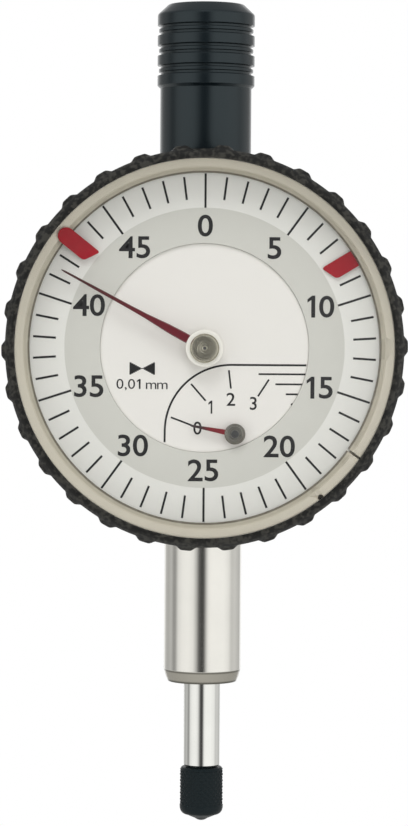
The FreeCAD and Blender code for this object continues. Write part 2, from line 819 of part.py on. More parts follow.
def pointer(place, length, root, tip, start, y, sheet, clockwise):
    """A tapered strip with a pointed end."""
    point = length - tip * 1.5
    outline = [(-root / 2, start), (-tip / 2, point), (0, length), (tip / 2, point), (root / 2, start)]
    blade = face([at((place[0] + x, place[1] + z), y) for x, z in outline]).extrude(ALONG_Y * sheet)
    return turnedTo(blade, clockwise, place)


def mainPointer():
    blade = pointer(centre, mainPointerLength, mainPointerRoot, mainPointerTip, 0, mainPointerY,
                    mainPointerSheet, mainPointerAngle)
    boss = disc(centre, mainHubRadius + pointerBoss, mainPointerY, mainPointerY + mainPointerSheet)
    return blade.fuse(boss).cut(disc(centre, dialArborRadius, mainPointerY - beyond, mainPointerY + beyond))


def pointerHub():
    front = mainPointerY - mainHubDepth / 2
    edge = 0.2
    cap = turned(centre, [(0, front), (mainHubRadius - edge, front), (mainHubRadius, front + edge),
                          (mainHubRadius, mainPointerY), (0, mainPointerY)])
    return cap.cut(disc(centre, dialArborRadius, mainPointerY - pointerSeat, mainPointerY + beyond))


def smallPointer():
    blade = pointer(rackArbor, smallPointerLength, smallPointerRoot, smallPointerTip, 0, smallPointerY,
                    smallPointerSheet, smallPointerAngle)
    boss = disc(rackArbor, smallHubRadius - pointerSheetInset, smallPointerY,
                smallPointerY + smallPointerSheet)
    return blade.fuse(boss).cut(disc(rackArbor, dialArborRadius, smallPointerY - beyond,
                                     smallPointerY + beyond))


def smallPointerHub():
    front = smallPointerY - smallHubDepth / 2
    edge = 0.15
    cap = turned(rackArbor, [(dialArborRadius, front), (smallHubRadius - edge, front),
                             (smallHubRadius, front + edge), (smallHubRadius, smallPointerY),
                             (dialArborRadius, smallPointerY)])
    return cap


# Bezel group
def bezelTooth():
    """One grip tooth: a rounded bar along the bezel's edge."""
    half = toothWidth / 2
    crown = toothHeight
    radius = (half ** 2 + crown ** 2) / (2 * crown)
    middle = bezelRoot + toothHeight - radius
    bar = disc((0, middle), radius, knurlFrontY, knurlRearY)
    return bar.cut(disc(centre, bezelRoot - toothHeight, knurlFrontY - beyond, knurlRearY + beyond))


def bezelRing():
    grooveY = wireSection / 2 + slidingGap
    grooveRadius = skirtBore + wireGroove
    profile = [(lipRadius, bezelFrontY), (bezelRoot - frontEdge, bezelFrontY), (bezelRoot, knurlFrontY),
               (bezelRoot, knurlRearY), (skirtRadius, knurlRearY + skirtStep), (skirtRadius, bezelRearY),
               (skirtBore, bezelRearY), (skirtBore, wireY + grooveY), (grooveRadius, wireY + grooveY),
               (grooveRadius, wireY - grooveY), (skirtBore, wireY - grooveY), (skirtBore, dialRearY),
               (seatRadius, dialRearY), (seatRadius, bezelFrontY + lipDepth),
               (lipRadius, bezelFrontY + lipDepth)]
    body = turned(centre, profile)
    teeth = [turnedTo(bezelTooth(), toothPhase + 360.0 / toothCount * k) for k in range(toothCount)]
    return body.fuse(teeth).removeSplitter()


def crystalSeal():
    y = bezelFrontY + lipDepth
    return ring(centre, seatRadius, lipRadius + fitGap, y, y + crystalGasket)


def crystal():
    return disc(centre, seatRadius - fitGap, crystalFrontY, crystalRearY)


def dialRing():
    return ring(centre, seatRadius - fitGap, scaleInner, dialFrontY, dialRearY)


def frontMarkerRing():
    profile = [(ringOuterRadius, frontRingY), (lipRadius, frontRingY),
               (coneInnerRadius, coneRearY - coneRim),
               (coneInnerRadius, coneRearY), (ringOuterRadius, coneRearY)]
    body = turned(centre, profile)
    gap = Part.makeBox(ringSplit, coneDepth + 2 * beyond, seatRadius,
                       at((-ringSplit / 2, 0), frontRingY - beyond))
    body = body.cut(turnedTo(gap, ringSplitAngle))
    return body.cut(disc(polar(lipRadius, notchAngle), notchRadius, frontRingY - beyond, coneRearY + beyond))


def leftMarker():
    """Bent strip: flat over the scale, then up to the cone of its ring."""
    flatY = coneRearY - 2 * slidingGap
    endY = flatY - leftMarkerRise
    heelY = endY + leftMarkerHeel
    section = [(markerInner, flatY), (markerInner, flatY - markerSheet),
               (markerBendRadius, flatY - markerSheet),
               (leftMarkerOuter, endY), (leftMarkerOuter, heelY),
               (leftMarkerOuter - leftMarkerHeel / 2, heelY + leftMarkerHeel / 2),
               (leftMarkerOuter - leftMarkerHeel, heelY), (markerBendRadius + slidingGap, flatY)]
    half = markerWidth / 2
    strip = face([at((-half, r), y) for r, y in section]).extrude(ALONG_X * markerWidth)
    rounding = disc((0, leftMarkerOuter - half), half, bezelFrontY, flatY + beyond)
    straight = block(-half, half, bezelFrontY, flatY + beyond,
                     dialCentreZ, dialCentreZ + leftMarkerOuter - half)
    strip = strip.common(rounding.fuse(straight))
    strip = strip.cut(markerSlantCut(1))
    return turnedTo(strip, leftMarkerAngle).cut(frontMarkerRing())


def markerSlantCut(longSide):
    """Trims a marker's inner end at a slant, so that one corner reaches further in."""
    half = markerWidth / 2
    inner = markerInner - beyond
    corners = [(longSide * half, markerInner), (-longSide * half, markerInner + markerSlant),
               (-longSide * markerWidth, markerInner + markerSlant), (-longSide * markerWidth, inner),
               (longSide * markerWidth, inner), (longSide * markerWidth, markerInner)]
    return face([at(c, bezelFrontY) for c in corners]).extrude(ALONG_Y * (caseFrontY - bezelFrontY))


def rearMarkerRing():
    return ring(centre, ringOuterRadius, rearRingInner, rearRingY, rearRingY + markerSheet)


def rightMarker():
    half = markerWidth / 2
    strip = block(-half, half, rearRingY, rearRingY + markerSheet, dialCentreZ + markerInner,
                  dialCentreZ + rearRingInner + slidingGap)
    strip = strip.cut(markerSlantCut(-1))
    return turnedTo(strip, rightMarkerAngle).cut(rearMarkerRing())


# Protective cap
def protectiveCap():
    bottom = neckSeatZ
    top = bottom + capLength
    inner = neckRadius + capGap
    profile = [(0, top - capRoof), (0, top), (capChamferRadius, top), (capRibRadius, top - capChamferLength)]
    z = top - capChamferLength - capBandLength
    profile.append((capRibRadius, z))
    for k in range(capRibCount):
        ribTop = z - (capRibPitch - capRibLand) + capRibFlank
        profile += [(capGrooveRadius, z - capRibFlank), (capGrooveRadius, ribTop),
                    (capRibRadius, ribTop - capRibFlank), (capRibRadius, z - capRibPitch)]
        z -= capRibPitch
    profile += [(capRadius, z - capRibFlank), (capRadius, bottom), (inner, bottom), (inner, top - capRoof)]
    return turnedUpright(profile)


PIECES = {
    "case_shell": caseShell,
    "rear_cover": rearCover,
    "rear_cover_gasket": rearCoverGasket,
    "rear_cover_screws": rearCoverScrews,
    "stem": stem,
    "lower_bush": lowerBush,
    "upper_neck": upperNeck,
    "upper_bush": upperBush,
    "cap_ring": capRing,
    "movement_plate": movementPlate,
    "plate_posts": lambda: postsBetween(platePosts, webRearY, plateY),
    "plate_screws": plateScrews,
    "rear_cock": rearCock,
    "cock_posts": lambda: postsBetween(cockPosts, plateRearY, cockY),
    "cock_screws": cockScrews,
    "front_jewels": frontJewels,
    "plate_jewels": plateJewels,
    "cock_jewel": cockJewel,
    "guide_rail": guideRail,
    "spring_post": springPost,
    "return_spring": returnSpring,
    "hairspring": hairspring,
    "hairspring_stud": hairspringStud,
    "bezel_wire": bezelWire,
    "inner_dial": innerDial,
    "bezel_ring": bezelRing,
    "crystal_seal": crystalSeal,
    "crystal": crystal,
    "dial_ring": dialRing,
    "front_marker_ring": frontMarkerRing,
    "left_marker": leftMarker,
    "rear_marker_ring": rearMarkerRing,
    "right_marker": rightMarker,
    "spindle": spindle,
    "guide_pin": guidePin,
    "stop_collar": stopCollar,
    "contact_point": contactPoint,
    "contact_ball": contactBall,
    "rack_pinion": rackPinion,
    "first_wheel": firstWheel,
    "small_pointer": smallPointer,
    "small_pointer_hub": smallPointerHub,
    "middle_pinion": middlePinion,
    "middle_wheel": middleWheel,
    "centre_pinion": centrePinion,
    "main_pointer": mainPointer,
    "pointer_hub": pointerHub,
    "takeup_arbor": lambda: arborBetweenPlates(takeUpArbor, arborRadius),
    "takeup_wheel": takeUpWheel,
    "hairspring_collet": hairspringCollet,
    "protective_cap": protectiveCap,
}

os.makedirs("parts", exist_ok=True)
for name, make in PIECES.items():
    shape = make()
    shape.exportStep("parts/" + name + ".step")
    print(name, len(shape.Solids), shape.isValid(), round(shape.Volume, 3))
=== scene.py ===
# Looks of a compact dial indicator: finer pieces, finishes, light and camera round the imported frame.
# Sizes in the settings are in millimetres and angles in degrees, clockwise from the top of the dial.
import json
import math

import bmesh
import bpy
from mathutils import Matrix, Vector


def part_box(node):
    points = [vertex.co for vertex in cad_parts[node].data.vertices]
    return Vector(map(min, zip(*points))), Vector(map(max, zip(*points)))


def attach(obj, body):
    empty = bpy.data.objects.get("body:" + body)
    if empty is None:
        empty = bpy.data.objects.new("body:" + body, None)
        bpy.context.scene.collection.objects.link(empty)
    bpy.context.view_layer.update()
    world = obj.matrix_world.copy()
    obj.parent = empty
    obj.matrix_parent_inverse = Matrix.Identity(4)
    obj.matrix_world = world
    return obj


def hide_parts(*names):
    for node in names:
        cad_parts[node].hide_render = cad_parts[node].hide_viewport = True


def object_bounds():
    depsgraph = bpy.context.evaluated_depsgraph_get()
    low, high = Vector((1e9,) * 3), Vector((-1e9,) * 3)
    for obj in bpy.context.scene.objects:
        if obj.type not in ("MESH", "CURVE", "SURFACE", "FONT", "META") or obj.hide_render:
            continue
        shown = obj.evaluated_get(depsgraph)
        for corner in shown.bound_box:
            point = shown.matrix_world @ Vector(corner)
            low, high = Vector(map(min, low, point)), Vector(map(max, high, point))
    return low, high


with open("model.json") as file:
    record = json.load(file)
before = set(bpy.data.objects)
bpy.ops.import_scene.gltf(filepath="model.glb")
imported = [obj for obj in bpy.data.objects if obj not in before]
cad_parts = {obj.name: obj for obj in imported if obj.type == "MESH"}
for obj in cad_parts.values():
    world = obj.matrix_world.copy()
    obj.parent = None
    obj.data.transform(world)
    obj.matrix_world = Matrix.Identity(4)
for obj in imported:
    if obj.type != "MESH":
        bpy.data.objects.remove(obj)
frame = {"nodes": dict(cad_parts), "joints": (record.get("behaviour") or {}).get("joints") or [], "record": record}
cadLow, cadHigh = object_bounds()
mm = 0.001
scene = bpy.context.scene
slotOf = {part["node"]: part["material_slot"] for part in frame["record"]["subparts"]}
pivots = {j["name"]: Vector(j["pos_m"]) for j in frame["joints"] if j["type"] == "hinge"}
dialCentre = pivots["bezel_turn"]
counterCentre = pivots["small_pointer_turn"]
spindleAxis = Vector((0, 0, 0))
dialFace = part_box("dial_ring")[0].y
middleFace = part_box("inner_dial")[0].y
print("frame loaded:", len(frame["nodes"]), "nodes")


# An sRGB colour from 0 to 255, as the linear colour that nodes take.
def shade(red, green, blue):
    shares = [c / 255 for c in (red, green, blue)]
    linear = [((c + 0.055) / 1.055) ** 2.4 if c > 0.04 else c / 12.92 for c in shares]
    return (*linear, 1.0)


# The same colour, lighter or darker by a factor.
def toned(colour, factor):
    return (*[min(1.0, c * factor) for c in colour[:3]], 1.0)


# A socket in a node tree, on which sums are written as in Python. Each sum adds its Math node.
class Value:
    def __init__(self, net, socket):
        self.net = net
        self.socket = socket

    def math(self, operation, *values):
        return self.net.node("ShaderNodeMath", {"operation": operation}, dict(enumerate(values)))

    def __add__(self, other):
        return self.math("ADD", self, other)

    def __radd__(self, other):
        return self.math("ADD", other, self)

    def __sub__(self, other):
        return self.math("SUBTRACT", self, other)

    def __rsub__(self, other):
        return self.math("SUBTRACT", other, self)

    def __mul__(self, other):
        return self.math("MULTIPLY", self, other)

    def __rmul__(self, other):
        return self.math("MULTIPLY", other, self)

    def __truediv__(self, other):
        return self.math("DIVIDE", self, other)

    def __rtruediv__(self, other):
        return self.math("DIVIDE", other, self)

    def __gt__(self, other):
        return self.math("GREATER_THAN", self, other)

    def __lt__(self, other):
        return self.math("LESS_THAN", self, other)


# A node tree with the few nodes that finishes, the world and Geometry Nodes all use.
class Net:
    def __init__(self, tree):
        self.tree = tree

    def node(self, kind, settings=None, inputs=None, out=0):
        made = self.tree.nodes.new(kind)
        for name, value in (settings or {}).items():
            if name == "stops":
                stops = made.color_ramp.elements
                stops[0].position, stops[1].position = value[0][0], value[-1][0]
                stops[0].color, stops[1].color = value[0][1], value[-1][1]
                for place, colour in value[1:-1]:
                    stops.new(place).color = colour
            else:
                setattr(made, name, value)
        for name, value in (inputs or {}).items():
            self.feed(made.inputs[name], value)
        return Value(self, made.outputs[out])

    def feed(self, socket, value):
        if isinstance(value, Value):
            self.tree.links.new(value.socket, socket)
        else:
            socket.default_value = value

    def parts(self, vector):
        first = self.node("ShaderNodeSeparateXYZ", {}, {0: vector})
        return [Value(self, out) for out in first.socket.node.outputs]

    def vector(self, x, y, z):
        return self.node("ShaderNodeCombineXYZ", {}, {0: x, 1: y, 2: z})

    def mixed(self, factor, first, second):
        return self.node("ShaderNodeMix", {"data_type": "RGBA"}, {0: factor, 6: first, 7: second}, 2)

    # 1 for what the camera sees at once or through glass, and for reflections as far as mirrored says
    def seen(self, mirrored):
        rays = self.node("ShaderNodeLightPath").socket.node.outputs
        direct = Value(self, rays["Is Camera Ray"])
        direct = direct.math("MAXIMUM", direct, Value(self, rays["Is Transmission Ray"]))
        return direct.math("MAXIMUM", direct, Value(self, rays["Is Glossy Ray"]) * mirrored)

    def smooth(self, value, low, high):
        settings = {"interpolation_type": "SMOOTHSTEP"}
        return self.node("ShaderNodeMapRange", settings, {0: value, 1: low, 2: high})


# A material on the Principled shader. Values that are the same all over are given by name at the start.
class Finish(Net):
    def __init__(self, name, **fixed):
        self.material = bpy.data.materials.new(name)
        self.material.use_nodes = True
        super().__init__(self.material.node_tree)
        self.shader = self.tree.nodes["Principled BSDF"]
        for label, value in fixed.items():
            self.shader.inputs[label.replace("_", " ")].default_value = value

    def place(self, centre=(0, 0, 0)):
        spot = self.node("ShaderNodeTexCoord", {}, {}, "Object")
        return self.node("ShaderNodeVectorMath", {"operation": "SUBTRACT"}, {0: spot, 1: tuple(centre)})

    # distance from an axis, place along it and angle about it
    def round(self, centre, axis):
        x, y, z = self.parts(self.place(centre))
        across, along = (z, y) if axis == "Y" else (y, z)
        radius = (x * x + across * across).math("SQRT", x * x + across * across)
        return radius, along, x.math("ARCTAN2", x, across)

    def noise(self, vector, scale, detail=2.0, roughness=0.5):
        values = {"Vector": vector, "Scale": scale, "Detail": detail, "Roughness": roughness}
        return self.node("ShaderNodeTexNoise", {}, values, 0)

    def bump(self, height, strength, distance):
        values = {"Height": height, "Strength": strength, "Distance": distance}
        self.feed(self.shader.inputs["Normal"], self.node("ShaderNodeBump", {}, values))
        return self

    def colour(self, value):
        self.feed(self.shader.inputs["Base Color"], value)

    def tone(self):
        return Value(self, self.shader.inputs["Base Color"].links[0].from_socket)

    def roughness(self, value):
        self.feed(self.shader.inputs["Roughness"], value)


# Metal or plastic with a fine grain: colour and roughness drift a little, and a bump gives the grain.
def grained(name, colour, rough, metallic=0.0, grain=9000, drift=0.06, depth=0.004, **fixed):
    paint = Finish(name, Metallic=metallic, **fixed)
    spot = paint.place()
    broad = paint.noise(spot, 260)
    fine = paint.noise(spot, grain, 3.0)
    paint.colour(paint.mixed(broad, toned(colour, 1 - drift), toned(colour, 1 + drift)))
    paint.roughness(rough * (1 - drift * 2) + broad * (rough * drift * 4))
    return paint.bump(fine, 0.35, depth * mm)


# Metal cut on a lathe: fine grooves round an axis, on ends and on sides alike.
def latheCut(name, colour, rough, centre, axis, pitch=0.05, strength=0.3, drift=0.05, metallic=1.0,
             depth=0.1):
    paint = Finish(name, Metallic=metallic)
    radius, along, angle = paint.round(centre, axis)
    density = 1 / (pitch * mm)
    lines = paint.noise(paint.vector(radius * density, along * density, angle * 0.35), 1.0, 2.0)
    broad = paint.noise(paint.place(), 320)
    paint.colour(paint.mixed(broad, toned(colour, 1 - drift), toned(colour, 1 + drift)))
    paint.roughness(rough * 0.85 + lines * (rough * 0.3))
    return paint.bump(lines, strength, pitch * depth * mm)


def newPiece(name, mesh):
    made = bpy.data.objects.new(name, mesh)
    scene.collection.objects.link(made)
    return made


def shaded(piece, crease=38):
    piece.data.shade_smooth()
    piece.data.set_sharp_from_angle(angle=math.radians(crease))
    return piece


def finished(piece, body, slot, paint, *nodes):
    piece.data.materials.clear()
    piece.data.materials.append(paint.material)
    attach(piece, body)
    if nodes:
        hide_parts(*nodes)


# Rounds every corner of an outline that gives a third number, how far the rounding reaches.
def softened(outline, steps=4):
    points = []
    for k, corner in enumerate(outline):
        here = Vector(corner[:2])
        if len(corner) < 3:
            points.append(here)
            continue
        before = Vector(outline[k - 1][:2]) - here
        after = Vector(outline[(k + 1) % len(outline)][:2]) - here
        reach = min(corner[2], before.length * 0.48, after.length * 0.48)
        first = here + before.normalized() * reach
        last = here + after.normalized() * reach
        for s in range(steps + 1):
            t = s / steps
            points.append(first * (1 - t) ** 2 + here * 2 * t * (1 - t) + last * t ** 2)
    return points


# A turned body from an outline of (radius, place along the axis) in millimetres from a centre.
def turned(name, outline, centre, axis, columns=160, closed=False, steps=4):
    made = bmesh.new()
    rings = []
    for radius, along in softened(outline, steps):
        count = columns if radius > 1e-6 else 1
        ring = []
        for k in range(count):
            turn = math.tau * k / columns
            x = radius * math.sin(turn) * mm + centre.x
            across = radius * math.cos(turn) * mm
            if axis == "Y":
                ring.append(made.verts.new((x, along * mm, centre.z + across)))
            else:
                ring.append(made.verts.new((x, centre.y + across, along * mm)))
        rings.append(ring)
    pairs = list(zip(rings, rings[1:])) + ([(rings[-1], rings[0])] if closed else [])
    for first, second in pairs:
        for k in range(columns):
            after = (k + 1) % columns
            if len(first) == 1 and len(second) == 1:
                continue
            if len(first) == 1:
                made.faces.new((first[0], second[k], second[after]))
            elif len(second) == 1:
                made.faces.new((first[k], second[0], first[after]))
            else:
                made.faces.new((first[k], second[k], second[after], first[after]))
    bmesh.ops.recalc_face_normals(made, faces=made.faces)
    mesh = bpy.data.meshes.new(name)
    made.to_mesh(mesh)
    made.free()
    return shaded(newPiece(name, mesh))


# A copy of a CAD node with its triangles joined, smooth curves and, where asked, softened edges.
def refined(name, node, crease=30, bevel=0.0):
    made = bmesh.new()
    made.from_mesh(frame["nodes"][node].data)
    bmesh.ops.remove_doubles(made, verts=made.verts, dist=1e-7)
    bmesh.ops.dissolve_limit(made, angle_limit=math.radians(0.3), verts=made.verts, edges=made.edges)
    mesh = bpy.data.meshes.new(name)
    made.to_mesh(mesh)
    made.free()
    piece = newPiece(name, mesh)
    if bevel:
        soften = piece.modifiers.new("soft edges", "BEVEL")
        soften.width = bevel * mm
        soften.segments = 2
        soften.limit_method = "ANGLE"
        soften.angle_limit = math.radians(35)
        soften.harden_normals = False
        piece = applied(piece)
    return shaded(piece, crease)


def applied(piece):
    graph = bpy.context.evaluated_depsgraph_get()
    graph.update()
    mesh = bpy.data.meshes.new_from_object(piece.evaluated_get(graph))
    mesh.name = piece.name
    piece.modifiers.clear()
    piece.data = mesh
    return piece


# A Geometry Nodes tree with named inputs, which ends in Realize Instances and Set Material.
class Rule(Net):
    kinds = {"Geometry": "NodeSocketGeometry", "Count": "NodeSocketInt", "Paint": "NodeSocketMaterial"}

    def __init__(self, name, *labels):
        super().__init__(bpy.data.node_groups.new(name, "GeometryNodeTree"))
        self.sockets = {}
        for label in ("Geometry", *labels, "Paint"):
            kind = self.kinds.get(label, "NodeSocketFloat")
            self.sockets[label] = self.tree.interface.new_socket(label, in_out="INPUT", socket_type=kind)
        self.tree.interface.new_socket("Geometry", in_out="OUTPUT", socket_type="NodeSocketGeometry")
        self.start = self.tree.nodes.new("NodeGroupInput")

    def given(self, label):
        return Value(self, self.start.outputs[label])

    def end(self, geometry):
        real = self.node("GeometryNodeRealizeInstances", {}, {0: geometry})
        painted = self.node("GeometryNodeSetMaterial", {}, {"Geometry": real, "Material": self.given("Paint")})
        self.feed(self.tree.nodes.new("NodeGroupOutput").inputs[0], painted)

    def run(self, piece, paint, **values):
        step = piece.modifiers.new(self.tree.name, "NODES")
        step.node_group = self.tree
        step[self.sockets["Paint"].identifier] = paint.material
        for label, value in values.items():
            step[self.sockets[label].identifier] = value
        return applied(piece)


# Floor, world and lamps.
def buildStage():
    stage = {"floorDrop": 95, "floorHalf": 340, "floorShade": (236, 236, 234)}
    low = cadLow.z - stage["floorDrop"] * mm
    half = stage["floorHalf"] * mm
    mesh = bpy.data.meshes.new("floor")
    corners = [(-half, -half, low), (half, -half, low), (half, half, low), (-half, half, low)]
    mesh.from_pydata(corners, [], [(0, 1, 2, 3)])
    floor = newPiece("floor", mesh)
    paint = Finish("pale floor", Roughness=0.9)
    tone = shade(*stage["floorShade"])
    speck = paint.noise(paint.place(), 40)
    paint.colour(paint.mixed(speck, toned(tone, 0.99), tone))
    mesh.materials.append(paint.material)

    # brightness of the room by direction: 0 is in front of the dial, positive to its right
    room = [(-180, 0.95), (-150, 0.62), (-126, 0.46), (-108, 0.55), (-96, 0.32), (-88, 0.36), (-78, 0.80),
            (-62, 0.94), (-42, 0.98), (-28, 0.88), (-18, 0.5), (-11, 0.12), (-2, 0.05), (4, 0.09), (10, 0.5),
            (16, 0.9), (26, 1.0), (66, 1.0), (84, 0.88), (96, 0.62), (112, 0.66), (146, 0.48), (164, 0.8)]
    sky = {"above": (0.5, 0.5, 0.5, 1), "canopy": (0.85, 0.85, 0.84, 1), "below": (0.5, 0.5, 0.49, 1),
           "backdrop": (1, 1, 1, 1)}
    world = bpy.data.worlds.new("studio")
    world.use_nodes = True
    scene.world = world
    net = Net(world.node_tree)
    back = world.node_tree.nodes["Background"]
    x, y, z = net.parts(net.node("ShaderNodeTexCoord", {}, {}, "Generated"))
    angle = x.math("ARCTAN2", x, 0 - y) / math.tau + 0.5
    stops = [((turn + 180) / 360, (level, level, level * 0.985, 1)) for turn, level in room]
    around = net.node("ShaderNodeValToRGB", {"stops": stops}, {0: angle})
    lit = net.mixed(net.smooth(z, 0.3, 0.4), around, sky["above"])
    canopy = net.smooth(z, 0.34, 0.46) * (1 - net.smooth(z, 0.72, 0.88)) * net.smooth(0 - y, 0.1, 0.5)
    lit = net.mixed(canopy, lit, sky["canopy"])
    lit = net.mixed(net.smooth(0 - z, 0.34, 0.46), lit, sky["below"])
    net.feed(back.inputs["Color"], net.mixed(net.seen(net.smooth(y, 0.8, 0.9)), lit, sky["backdrop"]))
    back.inputs["Strength"].default_value = 1.0

    # soft lamps, with places and sizes in millimetres and power in watts
    lamps = {"overhead": {"at": (-60, -330, 420), "size": 220, "power": 0.8},
             "front": {"at": (80, -520, 50), "size": 320, "power": 0.64}}
    for name, lamp in lamps.items():
        light = bpy.data.lights.new(name, "AREA")
        light.size = lamp["size"] * mm
        light.energy = lamp["power"]
        made = bpy.data.objects.new(name, light)
        scene.collection.objects.link(made)
        made.location = Vector(lamp["at"]) * mm
        made.rotation_euler = (dialCentre - made.location).to_track_quat("-Z", "Y").to_euler()
        made.visible_glossy = False
    print("stage ready")


def buildCamera():
    view = {"at": (-1.12, -300, 30.2), "down": 2.07, "right": 0.218, "lean": 0.381, "lens": 126.4,
            "sensor": 36}
    data = bpy.data.cameras.new("camera")
    data.sensor_width = view["sensor"]
    data.lens = view["lens"]
    data.clip_start = 0.01
    camera = bpy.data.objects.new("camera", data)
    scene.collection.objects.link(camera)
    turn = Matrix.Rotation(-math.radians(view["right"]), 4, "Z")
    turn @= Matrix.Rotation(math.pi / 2 - math.radians(view["down"]), 4, "X")
    turn @= Matrix.Rotation(math.radians(view["lean"]), 4, "Z")
    camera.matrix_world = Matrix.Translation(Vector(view["at"]) * mm) @ turn
    scene.camera = camera
    scene.view_settings.view_transform = "Standard"
    print("camera ready")


# Cap over the upper end of the spindle, with ribs that have two fine grooves between them.
def buildCap():
    cap = {"topRadius": 3.88, "ribRadius": 5.0, "ledge": 4.86, "grooveRadius": 4.66, "radius": 4.69,
           "chamfer": 1.05, "band": 1.13, "ribs": 3, "pitch": 2.05, "drop": 0.3, "wall": 1.0, "roof": 1.6,
           "soft": 0.04}
    # two grooves and the next rib, as (radius, how far below the rib before)
    grooves = [("grooveRadius", 0.08), ("grooveRadius", 0.32), ("ledge", 0.36), ("ledge", 0.67),
               ("grooveRadius", 0.71), ("grooveRadius", 0.97), ("ribRadius", 1.05),
               ("ribRadius", cap["pitch"])]
    low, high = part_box("protective_cap")
    bottom, top = low.z / mm, high.z / mm
    soft = cap["soft"]
    outline = [(0, top), (cap["topRadius"], top, 0.14), (cap["ribRadius"], top - cap["chamfer"], 0.16)]
    z = top - cap["chamfer"] - cap["band"]
    outline.append((cap["ribRadius"], z, soft))
    for k in range(cap["ribs"]):
        outline += [(cap[edge], z - down, soft) for edge, down in grooves]
        z -= cap["pitch"]
    inner, roof = cap["radius"] - cap["wall"], top - cap["roof"]
    outline += [(cap["radius"], z - cap["drop"], soft), (cap["radius"], bottom, 0.12),
                (inner, bottom, 0.1), (inner, roof, 0.2), (0, roof)]
    piece = turned("protective_cap_shell", outline, spindleAxis, "Z", 128)
    paint = grained("cap graphite", shade(14, 21, 25), 0.22, 0.0, grain=14000, drift=0.05, depth=0.001,
                    Specular_IOR_Level=0.55, Specular_Tint=(0.8, 0.95, 1.0, 1.0))
    finished(piece, "cap", "cap_graphite", paint, "protective_cap")
    print("cap ready")


# Raises the bezel's grip teeth, which fade out at both ends.
def gripRule():
    rule = Rule("grip", "Count", "Height", "Width", "Phase", "Root", "Front", "Rear", "Fade", "Land")
    x, y, z = rule.parts(rule.node("GeometryNodeInputPosition"))
    x = x - dialCentre.x
    z = z - dialCentre.z
    radius = x.math("SQRT", x * x + z * z)
    turn = (x.math("ARCTAN2", x, z) - rule.given("Phase")) * rule.given("Count") / math.tau
    away = turn.math("ABSOLUTE", turn - turn.math("ROUND", turn)) * (math.tau * radius) / rule.given("Count")
    share = away.math("MINIMUM", away / (rule.given("Width") * 0.5), 1.0)
    crown = 1 - rule.smooth(share, rule.given("Land"), 1.0)
    ends = rule.smooth(y, rule.given("Front"), rule.given("Front") + rule.given("Fade"))
    ends = ends * (1 - rule.smooth(y, rule.given("Rear") - rule.given("Fade"), rule.given("Rear")))
    ends = ends * (radius > rule.given("Root") - 0.03 * mm)    # only the outer face rises
    rise = crown * ends * rule.given("Height") / radius
    moved = rule.node("GeometryNodeSetPosition", {}, {"Geometry": rule.given("Geometry"),
                                                      "Offset": rule.vector(x * rise, 0.0, z * rise)})
    rule.end(moved)
    return rule


def buildBezel():
    bezel = {"lip": 18.85, "lipDepth": 0.4, "root": 19.8, "edge": 0.45, "skirt": 19.3, "bore": 18.45,
             "seat": 19.15, "front": -13.0, "gripFront": -12.5, "ledge": -8.4, "gripRear": -7.6, "rear": -5.4,
             "teeth": 30, "toothHeight": 0.4, "toothWidth": 2.35, "land": 0.35, "phase": 5.0, "fade": 0.45,
             "row": 0.12, "black": (23, 23, 22), "worn": (54, 53, 49)}
    grip, back, row = bezel["gripFront"], bezel["gripRear"], bezel["row"]
    lipRear = bezel["front"] + bezel["lipDepth"]
    outline = [(bezel["lip"], bezel["front"], 0.12), (bezel["root"] - bezel["edge"], bezel["front"], 0.2),
               (bezel["root"], grip)]
    outline += [(bezel["root"], grip + row * k) for k in range(1, 6)]
    outline += [(bezel["root"], back - row * k) for k in range(5, -1, -1)]
    outline += [(bezel["skirt"], back + 0.3, 0.1), (bezel["skirt"], bezel["rear"], 0.15),
                (bezel["bore"], bezel["rear"], 0.1), (bezel["bore"], bezel["ledge"]),
                (bezel["seat"], bezel["ledge"]), (bezel["seat"], lipRear), (bezel["lip"], lipRear)]
    piece = turned("bezel_grip_ring", outline, dialCentre, "Y", 720, closed=True)
    black = shade(*bezel["black"])
    paint = grained("bezel black", black, 0.36, 0.0, grain=9000, drift=0.1, depth=0.006,
                    Specular_IOR_Level=0.25)
    worn = paint.smooth(paint.noise(paint.place(), 2200, 2.0), 0.42, 0.64)
    paint.colour(paint.mixed(worn, black, shade(*bezel["worn"])))
    gripRule().run(piece, paint, Count=bezel["teeth"], Height=bezel["toothHeight"] * mm,
                   Width=bezel["toothWidth"] * mm, Phase=math.radians(bezel["phase"]),
                   Root=bezel["root"] * mm, Front=grip * mm, Rear=back * mm, Fade=bezel["fade"] * mm,
                   Land=bezel["land"])
    shaded(piece, 50)
    finished(piece, "bezel", "bezel_black", paint, "bezel_ring")

    crystal = {"edgeRound": 0.1, "index": 1.49, "mirror": 0.9}
    low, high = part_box("crystal")
    front, rear, edge = low.y / mm, high.y / mm, (high.x - low.x) / 2 / mm
    outline = [(0, front), (edge, front, crystal["edgeRound"]), (edge, rear, crystal["edgeRound"]), (0, rear)]
    glass = turned("crystal_pane", outline, dialCentre, "Y", 192)
    clear = Finish("crystal clear", Metallic=1.0)
    clear.colour(clear.mixed(clear.noise(clear.place(), 30), (0.97, 0.98, 1, 1), (1, 1, 1, 1)))
    clear.roughness(0.02 + clear.noise(clear.place(), 400) * 0.02)
    # the index is turned over behind, so that both faces of the pane answer alike
    index = crystal["index"]
    behind = clear.node("ShaderNodeNewGeometry", {}, {}, "Backfacing")
    facing = clear.node("ShaderNodeFresnel", {}, {"IOR": index - behind * (index - 1 / index)})
    clear.feed(clear.shader.inputs["Alpha"], facing * crystal["mirror"])
    finished(glass, "bezel", "crystal_clear", clear, "crystal")
    print("bezel ready")


